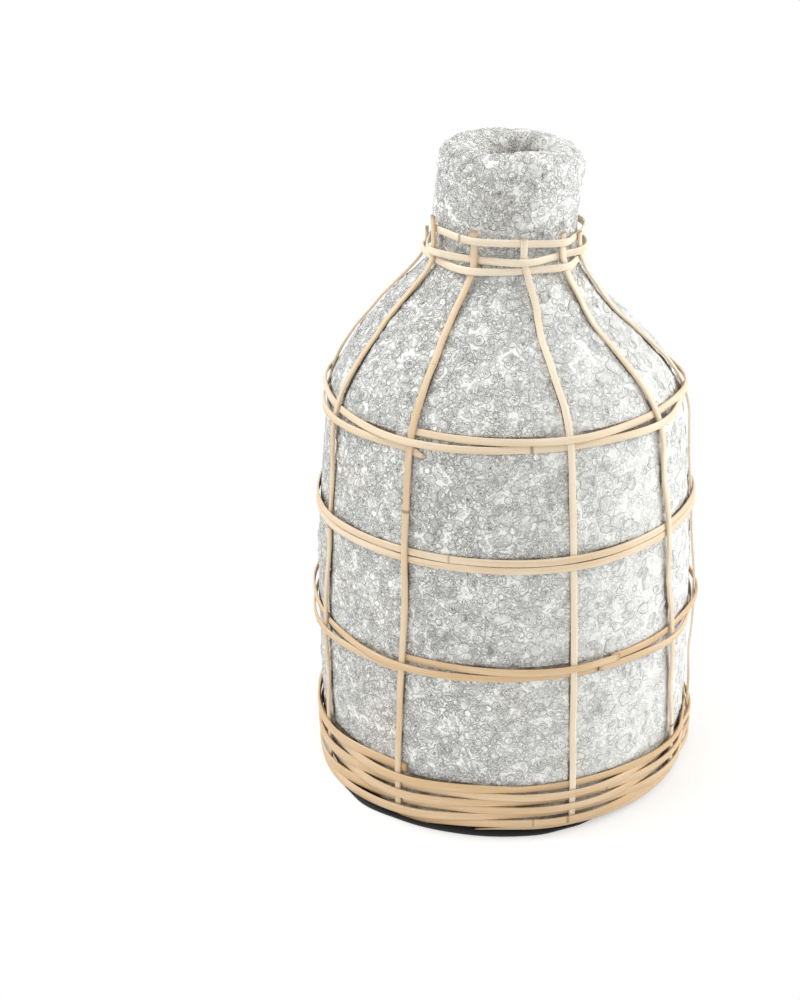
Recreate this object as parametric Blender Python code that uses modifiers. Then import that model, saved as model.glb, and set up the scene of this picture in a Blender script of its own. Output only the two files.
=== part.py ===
"""Bottle-shaped terracotta vase held in a hand-woven rattan cage, on a thin black pad.

The clay is one turned shell, open at the mouth. Nine upright staves stand round it, and split
cane is woven over and under them: a spiral round the foot, a spiral of two turns low down and
another at the shoulder, a doubled strip round the waist, and three turns round the neck.
Metres, +Z up. The origin is on the floor, on the axis of the vase, and -Y is its front.
Bearings are in degrees, anticlockwise from the front as seen from above.
"""

import functools
import math

import bmesh
import bpy
import numpy as np

# Clearance between pieces that touch.
CLEARANCE = 0.0003

# Pad under the foot.
PAD_RADIUS = 0.0845
PAD_THICKNESS = 0.003
PAD_EDGE = 0.0006

# Clay shell, from the foot up.
FOOT_RADIUS = 0.0861
FOOT_ROUND = 0.002
BELLY_RADIUS = 0.0867
BELLY_RISE = 0.057
SHOULDER_RADIUS = 0.0803
BARREL_RISE = 0.107
NECK_RADIUS = 0.0305
SHOULDER_RISE = 0.083
SHOULDER_SKEW = 1.28
LIP_RADIUS = 0.0312
NECK_RISE = 0.033
LIP_RISE = 0.0095
MOUTH_RADIUS = 0.0178
MOUTH_DEPTH = 0.0075
BORE_RADIUS = 0.0188
WALL = 0.008
FLOOR = 0.010

# Split cane: a flat back and a crowned face, whose edges are this share of its thickness.
STAVE_WIDTH = 0.0029
STAVE_THICKNESS = 0.0012
WEAVER_WIDTH = 0.0031
WEAVER_THICKNESS = 0.0010
EDGE_SHARE = 0.55

# Where the staves and bands start. Each is measured from the part of the clay named first.
FOOT_TO_STAVES = 0.0037
FOOT_TO_BASE_ROW = 0.0006
BELLY_TO_LOWER_BAND = 0.0207
BELLY_TO_WAIST_BAND = 0.0723
SHOULDER_TO_UPPER_BAND = 0.0153

# Gaps from one row of a band to the next.
BASE_ROW_GAP = 0.00025
BASE_ROW_SLACK = 0.0013
BAND_ROW_GAP = 0.0003
NECK_ROW_GAP = 0.0003

# How far a stave takes to rise off the clay, and how loosely the cane holds the neck.
STAVE_SWAY = 0.011
COLLAR_SLACK = 0.0016
COLLAR_RISE = 0.015

# Turns of the spirals.
BASE_TURNS = 6
BAND_TURNS = 2

# Ends, in degrees: how far one is tucked behind a stave, or stands out past it.
END_TUCK = 1.0
BASE_END = 4.5
UPPER_END = 5.0
WAIST_END = 4.0

# The base spiral, in degrees past the stave it starts at. A shorter length lies below its
# first turn, and each turn climbs a row as it passes its start, just before that stave.
UNDER_START, UNDER_STOP = 24.0, 236.0
UNDER_RISE_START, UNDER_RISE_STOP = 1.5, 39.5
UNDER_FALL_START, UNDER_FALL_STOP = 221.5, 281.5
BASE_CLIMB_START, BASE_CLIMB = -30.5, 50.0
LOOSEST_BEARING = -53.5

# The lower spiral is spliced twice, past its second meeting with the same stave: the first
# length laps the next by a little, and the last follows on after a gap.
LAP_END = 14.5
LAP = 2.5
CUT_END = 7.5
SPLICE_GAP = 0.0007

# Facets, and how sharply a strip springs up to pass over a stave.
ROUND_STEPS = 56
BARREL_STEPS = 5
SHOULDER_STEPS = 11
NECK_STEPS = 3
FACET_ANGLE = 10.5
SPRING = 1.6
SLOPE_STEP = 0.001
SMOOTH_ANGLE = 40.0

# Heights that follow from the sizes above.
FOOT_HEIGHT = PAD_THICKNESS + CLEARANCE
BELLY_HEIGHT = FOOT_HEIGHT + BELLY_RISE
SHOULDER_HEIGHT = BELLY_HEIGHT + BARREL_RISE
THROAT_HEIGHT = SHOULDER_HEIGHT + SHOULDER_RISE
LIP_HEIGHT = THROAT_HEIGHT + NECK_RISE
TOP_HEIGHT = LIP_HEIGHT + LIP_RISE
STAVE_FOOT = FOOT_HEIGHT + FOOT_TO_STAVES
BASE_ROW_HEIGHT = FOOT_HEIGHT + FOOT_TO_BASE_ROW
LOWER_BAND_HEIGHT = BELLY_HEIGHT + BELLY_TO_LOWER_BAND
WAIST_BAND_HEIGHT = BELLY_HEIGHT + BELLY_TO_WAIST_BAND
UPPER_BAND_HEIGHT = SHOULDER_HEIGHT + SHOULDER_TO_UPPER_BAND

# Pitches and lifts that follow: a stave stands off where strips pass behind it.
BASE_ROW_PITCH = WEAVER_WIDTH + BASE_ROW_GAP
BAND_ROW_PITCH = WEAVER_WIDTH + BAND_ROW_GAP
NECK_ROW_PITCH = WEAVER_WIDTH + NECK_ROW_GAP
STAVE_RAISED = WEAVER_THICKNESS + CLEARANCE
STRIP_OVER_SEATED = STAVE_THICKNESS + CLEARANCE
STRIP_OVER_RAISED = STAVE_RAISED + STRIP_OVER_SEATED
CREST_RADIUS = (LIP_RADIUS + MOUTH_RADIUS) / 2

# Each stave's bearings at the foot, the waist, the upper band, the shoulder and the neck, then
# how far its tip stands above the throat. Hand weaving leaves the spacing uneven.
STAVES = {
    "far left": (-65.0, -64.0, -64.0, -64.0, -62.0, 0.0125),
    "left": (-31.5, -29.0, -28.0, -24.5, -22.0, 0.0105),
    "right": (21.5, 21.0, 21.0, 21.0, 13.0, 0.0075),
    "far right": (62.0, 56.0, 55.0, 53.0, 44.0, 0.0075),
    "right side": (84.0, 84.0, 84.0, 80.0, 66.0, 0.0050),
    "back right": (127.5, 127.5, 127.0, 124.0, 118.0, 0.0085),
    "back": (171.0, 171.0, 171.0, 171.0, 170.0, 0.0100),
    "back left": (214.5, 214.5, 214.0, 213.0, 216.0, 0.0080),
    "left side": (257.5, 258.0, 258.0, 259.0, 262.0, 0.0020),
}
STAVE_STATION_HEIGHTS = (
    0.0,
    WAIST_BAND_HEIGHT,
    UPPER_BAND_HEIGHT,
    (UPPER_BAND_HEIGHT + 2 * THROAT_HEIGHT) / 3,
    THROAT_HEIGHT,
)

# The staves that the spirals start at and are spliced past, and that the waist closes at.
START_STAVE = "left"
SPLICE_STAVE = "right"
CLOSING_STAVE = "back"

# The staves that the doubled strip round the waist goes over. At the closing stave one end of
# it lies behind and the other in front.
WAIST_OVER = ("far left", "right", "right side", "back left")

# The neck strip's rows above the throat, at chosen bearings along its turns.
NECK_TURN_BEARINGS = (-66.0, 90.0, 296.0, 450.0, 656.0, 891.0)
NECK_TURN_ROWS = (2.06, 0.76, -0.71, -0.82, -1.94, -2.12)

# Colour and roughness of each material.
CLAY = ((0.56, 0.56, 0.52, 1.0), 0.95)
STAVE_CANE = ((0.66, 0.46, 0.24, 1.0), 0.5)
WEAVER_CANE = ((0.62, 0.42, 0.21, 1.0), 0.5)
PAD = ((0.012, 0.012, 0.012, 1.0), 0.9)


def smooth(t):
    """0 to 1 with level ends."""
    t = min(max(t, 0.0), 1.0)
    return t * t * (3 - 2 * t)


def eased(x, stations, values):
    """The value at x, moving smoothly from each station's value to the next one's."""
    if x <= stations[0]:
        return values[0]
    for start, stop, low, high in zip(stations, stations[1:], values, values[1:]):
        if x <= stop:
            return low + (high - low) * smooth((x - start) / (stop - start))
    return values[-1]


def spread(start, stop, count):
    """Evenly spaced values from start to stop, both included."""
    return [start + (stop - start) * i / (count - 1) for i in range(count)]


def outer_radius(height):
    """Radius of the clay's outer side."""
    if height <= BELLY_HEIGHT:
        rise = max(height - FOOT_HEIGHT, 0.0) / BELLY_RISE
        return FOOT_RADIUS + (BELLY_RADIUS - FOOT_RADIUS) * math.sin(rise * math.pi / 2)
    if height <= SHOULDER_HEIGHT:
        rise = (height - BELLY_HEIGHT) / BARREL_RISE
        return BELLY_RADIUS - (BELLY_RADIUS - SHOULDER_RADIUS) * rise**2
    if height <= THROAT_HEIGHT:
        rise = ((height - SHOULDER_HEIGHT) / SHOULDER_RISE) ** SHOULDER_SKEW
        barrel_slope = -2 * (BELLY_RADIUS - SHOULDER_RADIUS) / BARREL_RISE
        carried = barrel_slope * SHOULDER_RISE * rise * (1 - rise) ** 2
        return SHOULDER_RADIUS - (SHOULDER_RADIUS - NECK_RADIUS) * smooth(rise) + carried
    return NECK_RADIUS + (LIP_RADIUS - NECK_RADIUS) * smooth((height - THROAT_HEIGHT) / NECK_RISE)


def outer_slope(height):
    """How fast the outer radius grows with height."""
    above = outer_radius(height + SLOPE_STEP / 2)
    return (above - outer_radius(height - SLOPE_STEP / 2)) / SLOPE_STEP


def side_heights():
    """The heights of the outer side's corners, from the foot up to the neck."""
    barrel = spread(BELLY_HEIGHT, SHOULDER_HEIGHT, BARREL_STEPS)
    shoulder = spread(SHOULDER_HEIGHT, THROAT_HEIGHT, SHOULDER_STEPS)
    neck = spread(THROAT_HEIGHT, LIP_HEIGHT, NECK_STEPS)
    return [FOOT_HEIGHT + FOOT_ROUND, *barrel, *shoulder[1:], *neck[1:]]


def inner_point(height):
    """The point of the inner side that lies one wall in from the outer side at this height.

    The wall grows through the shoulder into the thick neck.
    """
    neck_wall = NECK_RADIUS - BORE_RADIUS
    wall = WALL + (neck_wall - WALL) * smooth((height - SHOULDER_HEIGHT) / SHOULDER_RISE)
    slope = outer_slope(height)
    length = math.hypot(1.0, slope)
    return outer_radius(height) - wall / length, height + wall * slope / length


def clay_profile():
    """Radius and height from the inside of the floor, up the bore, over the lip and down."""
    floor_height = FOOT_HEIGHT + FLOOR
    corner = FOOT_RADIUS - WALL
    shoulder = spread(SHOULDER_HEIGHT, THROAT_HEIGHT, SHOULDER_STEPS)
    points = [(0.0, floor_height), (corner - WALL, floor_height), (corner, floor_height + WALL)]
    points += [inner_point(height) for height in (BELLY_HEIGHT, *shoulder[::2])]
    points.append((BORE_RADIUS, LIP_HEIGHT - MOUTH_DEPTH))
    for angle in (0, 30, 60, 90):
        turn = math.radians(angle)
        radius = CREST_RADIUS - (CREST_RADIUS - MOUTH_RADIUS) * math.cos(turn)
        points.append((radius, TOP_HEIGHT - MOUTH_DEPTH * (1 - math.sin(turn))))
    for angle in (60, 30, 0):
        turn = math.radians(angle)
        radius = CREST_RADIUS + (LIP_RADIUS - CREST_RADIUS) * math.cos(turn)
        points.append((radius, LIP_HEIGHT + LIP_RISE * math.sin(turn)))
    points += [(outer_radius(height), height) for height in reversed(side_heights()[:-1])]
    points += [(FOOT_RADIUS - FOOT_ROUND, FOOT_HEIGHT), (0.0, FOOT_HEIGHT)]
    return points


def material(name, colour, roughness):
    """A plain Principled material."""
    made = bpy.data.materials.new(name)
    made.use_nodes = True
    surface = made.node_tree.nodes["Principled BSDF"]
    surface.inputs["Base Color"].default_value = colour
    surface.inputs["Roughness"].default_value = roughness
    surface.inputs["Metallic"].default_value = 0.0
    made.diffuse_color = colour
    return made


def add_piece(name, mesh, collection, finish):
    """Adds the mesh as an object of the collection, shaded smooth on its rounds."""
    mesh.materials.append(finish)
    mesh.shade_smooth()
    mesh.set_sharp_from_angle(angle=math.radians(SMOOTH_ANGLE))
    made = bpy.data.objects.new(name, mesh)
    collection.objects.link(made)
    return made


def make_clay(collection, finish):
    """The turned shell: its profile swept once round the axis."""
    mesh = bpy.data.meshes.new("vase_body")
    outline = [(radius, 0.0, height) for radius, height in clay_profile()]
    mesh.from_pydata(outline, [(i, i + 1) for i in range(len(outline) - 1)], [])
    body = add_piece("vase_body", mesh, collection, finish)
    turned = body.modifiers.new("Turned", "SCREW")
    turned.axis = "Z"
    turned.angle = math.tau
    turned.steps = ROUND_STEPS
    turned.render_steps = ROUND_STEPS
    turned.use_merge_vertices = True
    turned.merge_threshold = 0.00001
    turned.use_smooth_shade = True


def make_pad(collection, finish):
    """The disc that the foot stands on, its edges just broken."""
    built = bmesh.new()
    bmesh.ops.create_cone(
        built,
        cap_ends=True,
        segments=ROUND_STEPS,
        radius1=PAD_RADIUS,
        radius2=PAD_RADIUS,
        depth=PAD_THICKNESS,
    )
    mesh = bpy.data.meshes.new("base_pad")
    built.to_mesh(mesh)
    built.free()
    pad = add_piece("base_pad", mesh, collection, finish)
    pad.location.z = PAD_THICKNESS / 2
    edge = pad.modifiers.new("Broken edge", "BEVEL")
    edge.width = PAD_EDGE
    edge.segments = 1
    edge.limit_method = "ANGLE"


@functools.cache
def cage_profile():
    """Heights and radii of the corners of the ground that the cane lies on.

    It follows the clay's corners, wide enough for the cane's facets to clear the clay. The base
    spiral goes round the pad too, where that is wider than the foot.
    """
    sides = side_heights()
    side_radii = [outer_radius(height) for height in sides]
    heights = sorted([*sides, base_top(), THROAT_HEIGHT - COLLAR_RISE])
    radii = []
    for height in heights:
        ground = float(np.interp(height, sides, side_radii))
        if height <= base_top():
            ground = max(ground, PAD_RADIUS)
        slack = COLLAR_SLACK * smooth(1 - (THROAT_HEIGHT - height) / COLLAR_RISE)
        radii.append((ground + CLEARANCE) / math.cos(math.radians(FACET_ANGLE / 2)) + slack)
    return heights, radii


def cage_radius(height):
    """Radius of the ground that the cane lies on."""
    return float(np.interp(height, *cage_profile()))


def on_cage(bearing, height, lift):
    """The point at a bearing and height, lifted outwards from the cage's ground."""
    turn = math.radians(bearing)
    radius = cage_radius(height) + lift
    return radius * math.sin(turn), -radius * math.cos(turn), height


def stave_bearing(stave, height):
    """A stave's bearing at a height."""
    return eased(height, STAVE_STATION_HEIGHTS, STAVES[stave][:-1])


def base_row_height(bearing):
    """Height of the base spiral's middle line, at a bearing that counts on through its turns."""
    turns, past = divmod(bearing - STAVES[START_STAVE][0] - BASE_CLIMB_START, 360)
    row = turns - 1 + smooth(past / BASE_CLIMB)
    past += BASE_CLIMB_START
    held_up = smooth((past - UNDER_RISE_START) / (UNDER_RISE_STOP - UNDER_RISE_START))
    let_down = smooth((past - UNDER_FALL_START) / (UNDER_FALL_STOP - UNDER_FALL_START))
    loose = max(0.0, math.cos(math.radians(past - LOOSEST_BEARING)))
    pitch = BASE_ROW_PITCH + BASE_ROW_SLACK * loose
    return BASE_ROW_HEIGHT + pitch * (row + held_up * (1 - let_down))


def base_top():
    """Height above the base spiral's last turn, where the staves are free again."""
    return base_row_height(STAVES[START_STAVE][0] + 360 * BASE_TURNS) + WEAVER_WIDTH


def spiral_height(band_height):
    """Height along a spiral of two turns that starts at the start stave and falls."""
    start = stave_bearing(START_STAVE, band_height)
    middle = BAND_TURNS / 2
    return lambda bearing: band_height + BAND_ROW_PITCH * (middle - (bearing - start) / 360)


def neck_row_height(bearing):
    """Height of the neck strip's middle line."""
    return THROAT_HEIGHT + NECK_ROW_PITCH * eased(bearing, NECK_TURN_BEARINGS, NECK_TURN_ROWS)


def band_spans():
    """Lowest and highest point of each band that the staves meet: foot, lower, waist, upper."""
    reach = BAND_TURNS * BAND_ROW_PITCH
    return (
        (0.0, base_top()),
        (LOWER_BAND_HEIGHT - reach, LOWER_BAND_HEIGHT + reach),
        (WAIST_BAND_HEIGHT - BAND_ROW_PITCH, WAIST_BAND_HEIGHT + BAND_ROW_PITCH),
        (UPPER_BAND_HEIGHT - reach, UPPER_BAND_HEIGHT + reach),
    )


def stave_lift(stave, height):
    """How far a stave's back stands off the cage's ground: raised where strips pass behind."""
    foot, lower, waist, upper = band_spans()
    neck = (neck_row_height(NECK_TURN_BEARINGS[-1]) - WEAVER_WIDTH, TOP_HEIGHT)
    raised = [foot, lower, upper, neck] if stave in WAIST_OVER else [foot, lower, waist, upper, neck]
    away = min(max(low - height, height - high, 0.0) for low, high in raised)
    return STAVE_RAISED * smooth(1 - away / STAVE_SWAY)


def stave_heights(stave):
    """The heights of a stave's stations: the ground's corners, and where the stave sways out."""
    foot, *bands = band_spans()
    tip = THROAT_HEIGHT + STAVES[stave][-1]
    heights = {foot[1] + STAVE_SWAY, *cage_profile()[0]}
    for low, high in bands:
        heights |= {low - STAVE_SWAY, low, high, high + STAVE_SWAY}
    return [STAVE_FOOT, *sorted(height for height in heights if STAVE_FOOT < height < tip), tip]


def strip_mesh(name, places):
    """The flat back of a strip, three points wide, and the points along its middle."""
    built = bmesh.new()
    spans = len(places) - 1
    bmesh.ops.create_grid(built, x_segments=spans, y_segments=2, size=1.0)
    built.verts.index_update()
    middle = []
    for vertex in built.verts:
        station = round((vertex.co.x + 1) / 2 * spans)
        side = round(vertex.co.y)
        if side == 0:
            middle.append(vertex.index)
        vertex.co = places[station][side + 1]
    mesh = bpy.data.meshes.new(name)
    built.to_mesh(mesh)
    built.free()
    return mesh, middle


def make_strip(name, places, thickness, collection, finish):
    """One length of split cane through its places, thickest along the middle of its face.

    Each place is one edge, the middle and the other edge of the strip's flat back.
    """
    mesh, middle = strip_mesh(name, places)
    strip = add_piece(name, mesh, collection, finish)
    crown = strip.vertex_groups.new(name="crown")
    crown.add(range(len(mesh.vertices)), EDGE_SHARE, "REPLACE")
    crown.add(middle, 1.0, "REPLACE")
    body = strip.modifiers.new("Thickness", "SOLIDIFY")
    body.thickness = thickness
    body.offset = 1.0
    body.vertex_group = "crown"


def make_stave(name, stave, collection, finish):
    """One upright, from the base rows to its cut tip above the neck strip."""
    places = []
    for height in stave_heights(stave):
        bearing = stave_bearing(stave, height)
        half = math.degrees(STAVE_WIDTH / 2 / cage_radius(height))
        lift = stave_lift(stave, height)
        places.append([on_cage(bearing - side * half, height, lift) for side in (-1, 0, 1)])
    make_strip(name, places, STAVE_THICKNESS, collection, finish)


def met_staves(start, stop, height_at):
    """Bearings, in order, at which a strip between two bearings meets the staves."""
    met = []
    for lap in range(-1, BASE_TURNS + 1):
        for stave in STAVES:
            bearing = STAVES[stave][0] + 360 * lap
            for _ in range(3):
                bearing = stave_bearing(stave, height_at(bearing)) + 360 * lap
            reached = height_at(bearing) + WEAVER_WIDTH / 2 > STAVE_FOOT
            if start < bearing < stop and reached:
                met.append(bearing)
    return sorted(met)


def held_between(start, stop, height_at, first_over, stop_lift=0.0):
    """(bearing, lift) at a strip's two ends, and in front of and behind the staves between."""
    lifts = (STRIP_OVER_RAISED, 0.0) if first_over else (0.0, STRIP_OVER_RAISED)
    met = met_staves(start, stop, height_at)
    passed = [(bearing, lifts[index % 2]) for index, bearing in enumerate(met)]
    return [(start, 0.0), *passed, (stop, stop_lift)]


def make_weaver(name, held, height_at, collection, finish):
    """One strip woven round the cage.

    held gives (bearing, lift) at its two ends and at each stave that it meets. Between two
    of them it lies on the clay and springs up only near the one that it passes over.
    """
    stations = []
    for (here, lift), (there, next_lift) in zip(held, held[1:]):
        steps = max(math.ceil((there - here) / FACET_ANGLE), 1)
        low, rise = min(lift, next_lift), abs(next_lift - lift)
        for step in range(steps):
            share = step / steps
            towards = share if next_lift > lift else 1 - share
            stations.append((here + (there - here) * share, low + rise * smooth(towards) ** SPRING))
    stations.append(held[-1])
    places = []
    for bearing, lift in stations:
        height = height_at(bearing)
        half = WEAVER_WIDTH / 2 / math.hypot(1.0, outer_slope(height))
        places.append([on_cage(bearing, height + side * half, lift) for side in (-1, 0, 1)])
    make_strip(name, places, WEAVER_THICKNESS, collection, finish)


def make_base_weavers(collection, finish):
    """The base spiral, and the shorter length below its first turn."""
    start = STAVES[START_STAVE][0]
    under = [(start + UNDER_START - 360, 0.0), (start + UNDER_STOP - 360, 0.0)]
    make_weaver("base_weaver_1", under, base_row_height, collection, finish)
    stop = start + 360 * BASE_TURNS + BASE_END
    held = held_between(start - END_TUCK, stop, base_row_height, first_over=True)
    make_weaver("base_weaver_2", held, base_row_height, collection, finish)


def make_lower_weavers(collection, finish):
    """The lower spiral in three lengths: the first laps the second, the third follows on."""
    height_at = spiral_height(LOWER_BAND_HEIGHT)
    start = stave_bearing(START_STAVE, LOWER_BAND_HEIGHT)
    lap_stop = stave_bearing(SPLICE_STAVE, LOWER_BAND_HEIGHT) + LAP_END
    cut = stave_bearing(SPLICE_STAVE, LOWER_BAND_HEIGHT) + 360 + CUT_END
    gap = math.degrees(SPLICE_GAP / outer_radius(LOWER_BAND_HEIGHT))
    stop = start + 360 * BAND_TURNS + END_TUCK
    first = held_between(start - END_TUCK, lap_stop, height_at, False, STAVE_RAISED)
    second = held_between(lap_stop - LAP, cut, height_at, first_over=False)
    third = held_between(cut + gap, stop, height_at, first_over=True)
    for index, held in enumerate((first, second, third), 1):
        make_weaver(f"lower_weaver_{index}", held, height_at, collection, finish)


def make_waist_weavers(collection, finish):
    """Two strips woven as one, closed at one stave."""
    for name, side in (("waist_weaver_1", 1), ("waist_weaver_2", -1)):
        height = WAIST_BAND_HEIGHT + side * BAND_ROW_PITCH / 2
        closing = stave_bearing(CLOSING_STAVE, height)
        held = [(closing - 360 - WAIST_END, 0.0), (closing - 360, 0.0)]
        for stave in STAVES:
            if stave != CLOSING_STAVE:
                bearing = closing - 360 + (stave_bearing(stave, height) - closing) % 360
                held.append((bearing, STRIP_OVER_SEATED if stave in WAIST_OVER else 0.0))
        held += [(closing, STRIP_OVER_RAISED), (closing + WAIST_END, STRIP_OVER_RAISED)]
        held.sort()
        make_weaver(name, held, lambda bearing, level=height: level, collection, finish)


def make_upper_weaver(collection, finish):
    """The upper spiral of two turns, its last end showing beside the start stave."""
    height_at = spiral_height(UPPER_BAND_HEIGHT)
    start = stave_bearing(START_STAVE, UPPER_BAND_HEIGHT)
    stop = start + 360 * BAND_TURNS + UPPER_END
    held = held_between(start - END_TUCK, stop, height_at, first_over=False)
    make_weaver("upper_weaver", held, height_at, collection, finish)


def make_neck_weaver(collection, finish):
    """Three falling turns round the neck, which gather the staves."""
    start, stop = NECK_TURN_BEARINGS[0], NECK_TURN_BEARINGS[-1]
    held = held_between(start, stop, neck_row_height, first_over=False)
    make_weaver("neck_weaver", held, neck_row_height, collection, finish)


def main():
    for old in list(bpy.data.objects):
        bpy.data.objects.remove(old, do_unlink=True)
    collection = bpy.data.collections.new("Rattan wrapped vase")
    bpy.context.scene.collection.children.link(collection)
    make_pad(collection, material("Pad", *PAD))
    make_clay(collection, material("Clay", *CLAY))
    stave_finish = material("Stave cane", *STAVE_CANE)
    for number, stave in enumerate(STAVES, 1):
        make_stave(f"stave_{number}", stave, collection, stave_finish)
    weaver_finish = material("Weaver cane", *WEAVER_CANE)
    make_base_weavers(collection, weaver_finish)
    make_lower_weavers(collection, weaver_finish)
    make_waist_weavers(collection, weaver_finish)
    make_upper_weaver(collection, weaver_finish)
    make_neck_weaver(collection, weaver_finish)


main()
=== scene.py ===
import math
import random

import bmesh
import bpy
import numpy as np
from mathutils import Matrix, Vector, noise


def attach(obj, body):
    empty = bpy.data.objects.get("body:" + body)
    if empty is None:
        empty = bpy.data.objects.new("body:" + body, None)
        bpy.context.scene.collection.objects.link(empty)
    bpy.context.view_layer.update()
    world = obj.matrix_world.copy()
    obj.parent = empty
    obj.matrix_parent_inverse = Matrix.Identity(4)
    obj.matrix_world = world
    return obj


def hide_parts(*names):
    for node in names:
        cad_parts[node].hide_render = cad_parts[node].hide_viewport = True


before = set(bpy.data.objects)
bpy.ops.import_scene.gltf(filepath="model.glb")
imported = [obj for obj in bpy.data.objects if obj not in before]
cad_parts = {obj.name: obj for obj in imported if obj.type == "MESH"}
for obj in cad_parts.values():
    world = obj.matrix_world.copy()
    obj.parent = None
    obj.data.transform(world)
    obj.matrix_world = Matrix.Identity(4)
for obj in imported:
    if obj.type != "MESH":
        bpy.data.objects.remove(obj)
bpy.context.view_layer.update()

bl_info = {
    "name": "Rattan Wrapped Vase",
    "version": (1, 0, 0),
    "blender": (4, 5, 0),
    "location": "3D View > Sidebar > Vase",
    "description": "A bubbled clay bottle vase in a hand-woven cage of split rattan",
    "category": "Add Mesh",
}

COLLECTION = "Rattan wrapped vase"

# Pad and clay shell, in metres. Bearings are in degrees, anticlockwise from the front as seen
# from above, and the front is -Y.
PAD_RADIUS = 0.0845
PAD_THICKNESS = 0.003
CLEARANCE = 0.0003
FOOT_RADIUS = 0.0861
FOOT_ROUND = 0.002
BELLY_RADIUS = 0.0867
SHOULDER_RADIUS = 0.0803
SHOULDER_SKEW = 1.28
NECK_RADIUS = 0.0305
LIP_RADIUS = 0.0312
MOUTH_RADIUS = 0.0178
MOUTH_DEPTH = 0.0075
BORE_RADIUS = 0.0188
WALL = 0.008
FLOOR = 0.010
BELLY_RISE = 0.057
BARREL_RISE = 0.107
SHOULDER_RISE = 0.083
NECK_RISE = 0.033
LIP_RISE = 0.0095
FOOT_HEIGHT = PAD_THICKNESS + CLEARANCE
BELLY_HEIGHT = FOOT_HEIGHT + BELLY_RISE
SHOULDER_HEIGHT = BELLY_HEIGHT + BARREL_RISE
THROAT_HEIGHT = SHOULDER_HEIGHT + SHOULDER_RISE
LIP_HEIGHT = THROAT_HEIGHT + NECK_RISE
TOP_HEIGHT = LIP_HEIGHT + LIP_RISE
CREST_RADIUS = (LIP_RADIUS + MOUTH_RADIUS) / 2

# The vase was made by hand: its shoulder leans left and its rim right. Heights, and how far it
# leans at them, in metres.
LEANS = (
    (0.172, 0.0), (0.185, -0.0003), (0.197, -0.0009), (0.204, -0.0019), (0.212, -0.0027),
    (0.219, -0.0038), (0.226, -0.0032), (0.243, 0.0), (0.262, 0.0), (0.270, 0.0009),
    (0.278, 0.0018), (0.2928, 0.0024),
)

# Cane sizes, and how it is woven.
STAVE_THICKNESS = 0.0012
WEAVER_THICKNESS = 0.0010
STAVE_FOOT = FOOT_HEIGHT + 0.0037
BASE_ROW_HEIGHT = FOOT_HEIGHT + 0.0006
LOWER_BAND_HEIGHT = BELLY_HEIGHT + 0.0207
WAIST_BAND_HEIGHT = BELLY_HEIGHT + 0.0723
UPPER_BAND_HEIGHT = SHOULDER_HEIGHT + 0.0153
BASE_ROW_PITCH = 0.00335
BASE_ROW_SLACK = 0.0013
BASE_ROW_SAG = 0.0016
BAND_ROW_PITCH = 0.0034
STAVE_SWAY = 0.030
COLLAR_SLACK = 0.0016
COLLAR_RISE = 0.015
FACET_ANGLE = 10.5
SPRING = 1.6
BASE_TURNS = 6
BAND_TURNS = 2
STAVE_RAISED = WEAVER_THICKNESS + CLEARANCE
STRIP_OVER_SEATED = STAVE_THICKNESS + CLEARANCE
STRIP_OVER_RAISED = STAVE_RAISED + STRIP_OVER_SEATED
END_TUCK = 1.0
BASE_END = 3.0
UPPER_END = 5.0
WAIST_END = 4.0
UNDER_START, UNDER_STOP = 24.0, 236.0
UNDER_RISE_START, UNDER_RISE_STOP = 1.5, 39.5
UNDER_FALL_START, UNDER_FALL_STOP = 221.5, 281.5
BASE_CLIMB_START, BASE_CLIMB = -30.5, 50.0
LOOSEST_BEARING = -53.5
LAP_END, LAP, CUT_END, SPLICE_GAP = 14.5, 2.5, 7.5, 0.0007

# Bearings of each stave at the foot, waist, upper band, shoulder and neck, and its tip.
STAVES = {
    "far left": (-65.0, -64.0, -64.0, -64.0, -62.0, 0.0125),
    "left": (-31.5, -29.0, -28.0, -24.5, -22.0, 0.0105),
    "right": (21.5, 21.0, 21.0, 21.0, 13.0, 0.0075),
    "far right": (62.0, 56.0, 55.0, 53.0, 44.0, 0.0075),
    "right side": (84.0, 84.0, 84.0, 80.0, 66.0, 0.0050),
    "back right": (127.5, 127.5, 127.0, 124.0, 118.0, 0.0085),
    "back": (171.0, 171.0, 171.0, 171.0, 170.0, 0.0100),
    "back left": (214.5, 214.5, 214.0, 213.0, 216.0, 0.0080),
    "left side": (257.5, 258.0, 258.0, 259.0, 262.0, 0.0020),
}
STAVE_STATION_HEIGHTS = (
    0.0,
    WAIST_BAND_HEIGHT,
    UPPER_BAND_HEIGHT,
    (UPPER_BAND_HEIGHT + 2 * THROAT_HEIGHT) / 3,
    THROAT_HEIGHT,
)
WAIST_OVER = ("far left", "right", "right side", "back left")
NECK_TURN_BEARINGS = (-66.0, 90.0, 296.0, 450.0, 656.0, 891.0)
NECK_TURN_ROWS = (2.06, 0.76, -0.71, -0.82, -1.94, -2.12)

# Swollen joints of the cane: heights on staves, and on strips bearings that count on through
# their turns.
STAVE_JOINTS = {
    "left": (0.209, 0.1519), "right": (0.1665,), "far right": (0.031,), "far left": (0.128,),
}
BASE_JOINTS = (9.5, 18.9, 1111.9)
WAIST_JOINTS = (-14.9, 95.0)
UPPER_JOINTS = (368.3, 150.0)
NECK_JOINTS = (-31.7,)
# How far the loose end of the upper band hangs below its row, and over how many degrees.
UPPER_END_SAG = 0.0022
UPPER_END_REACH = 7.0
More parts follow.
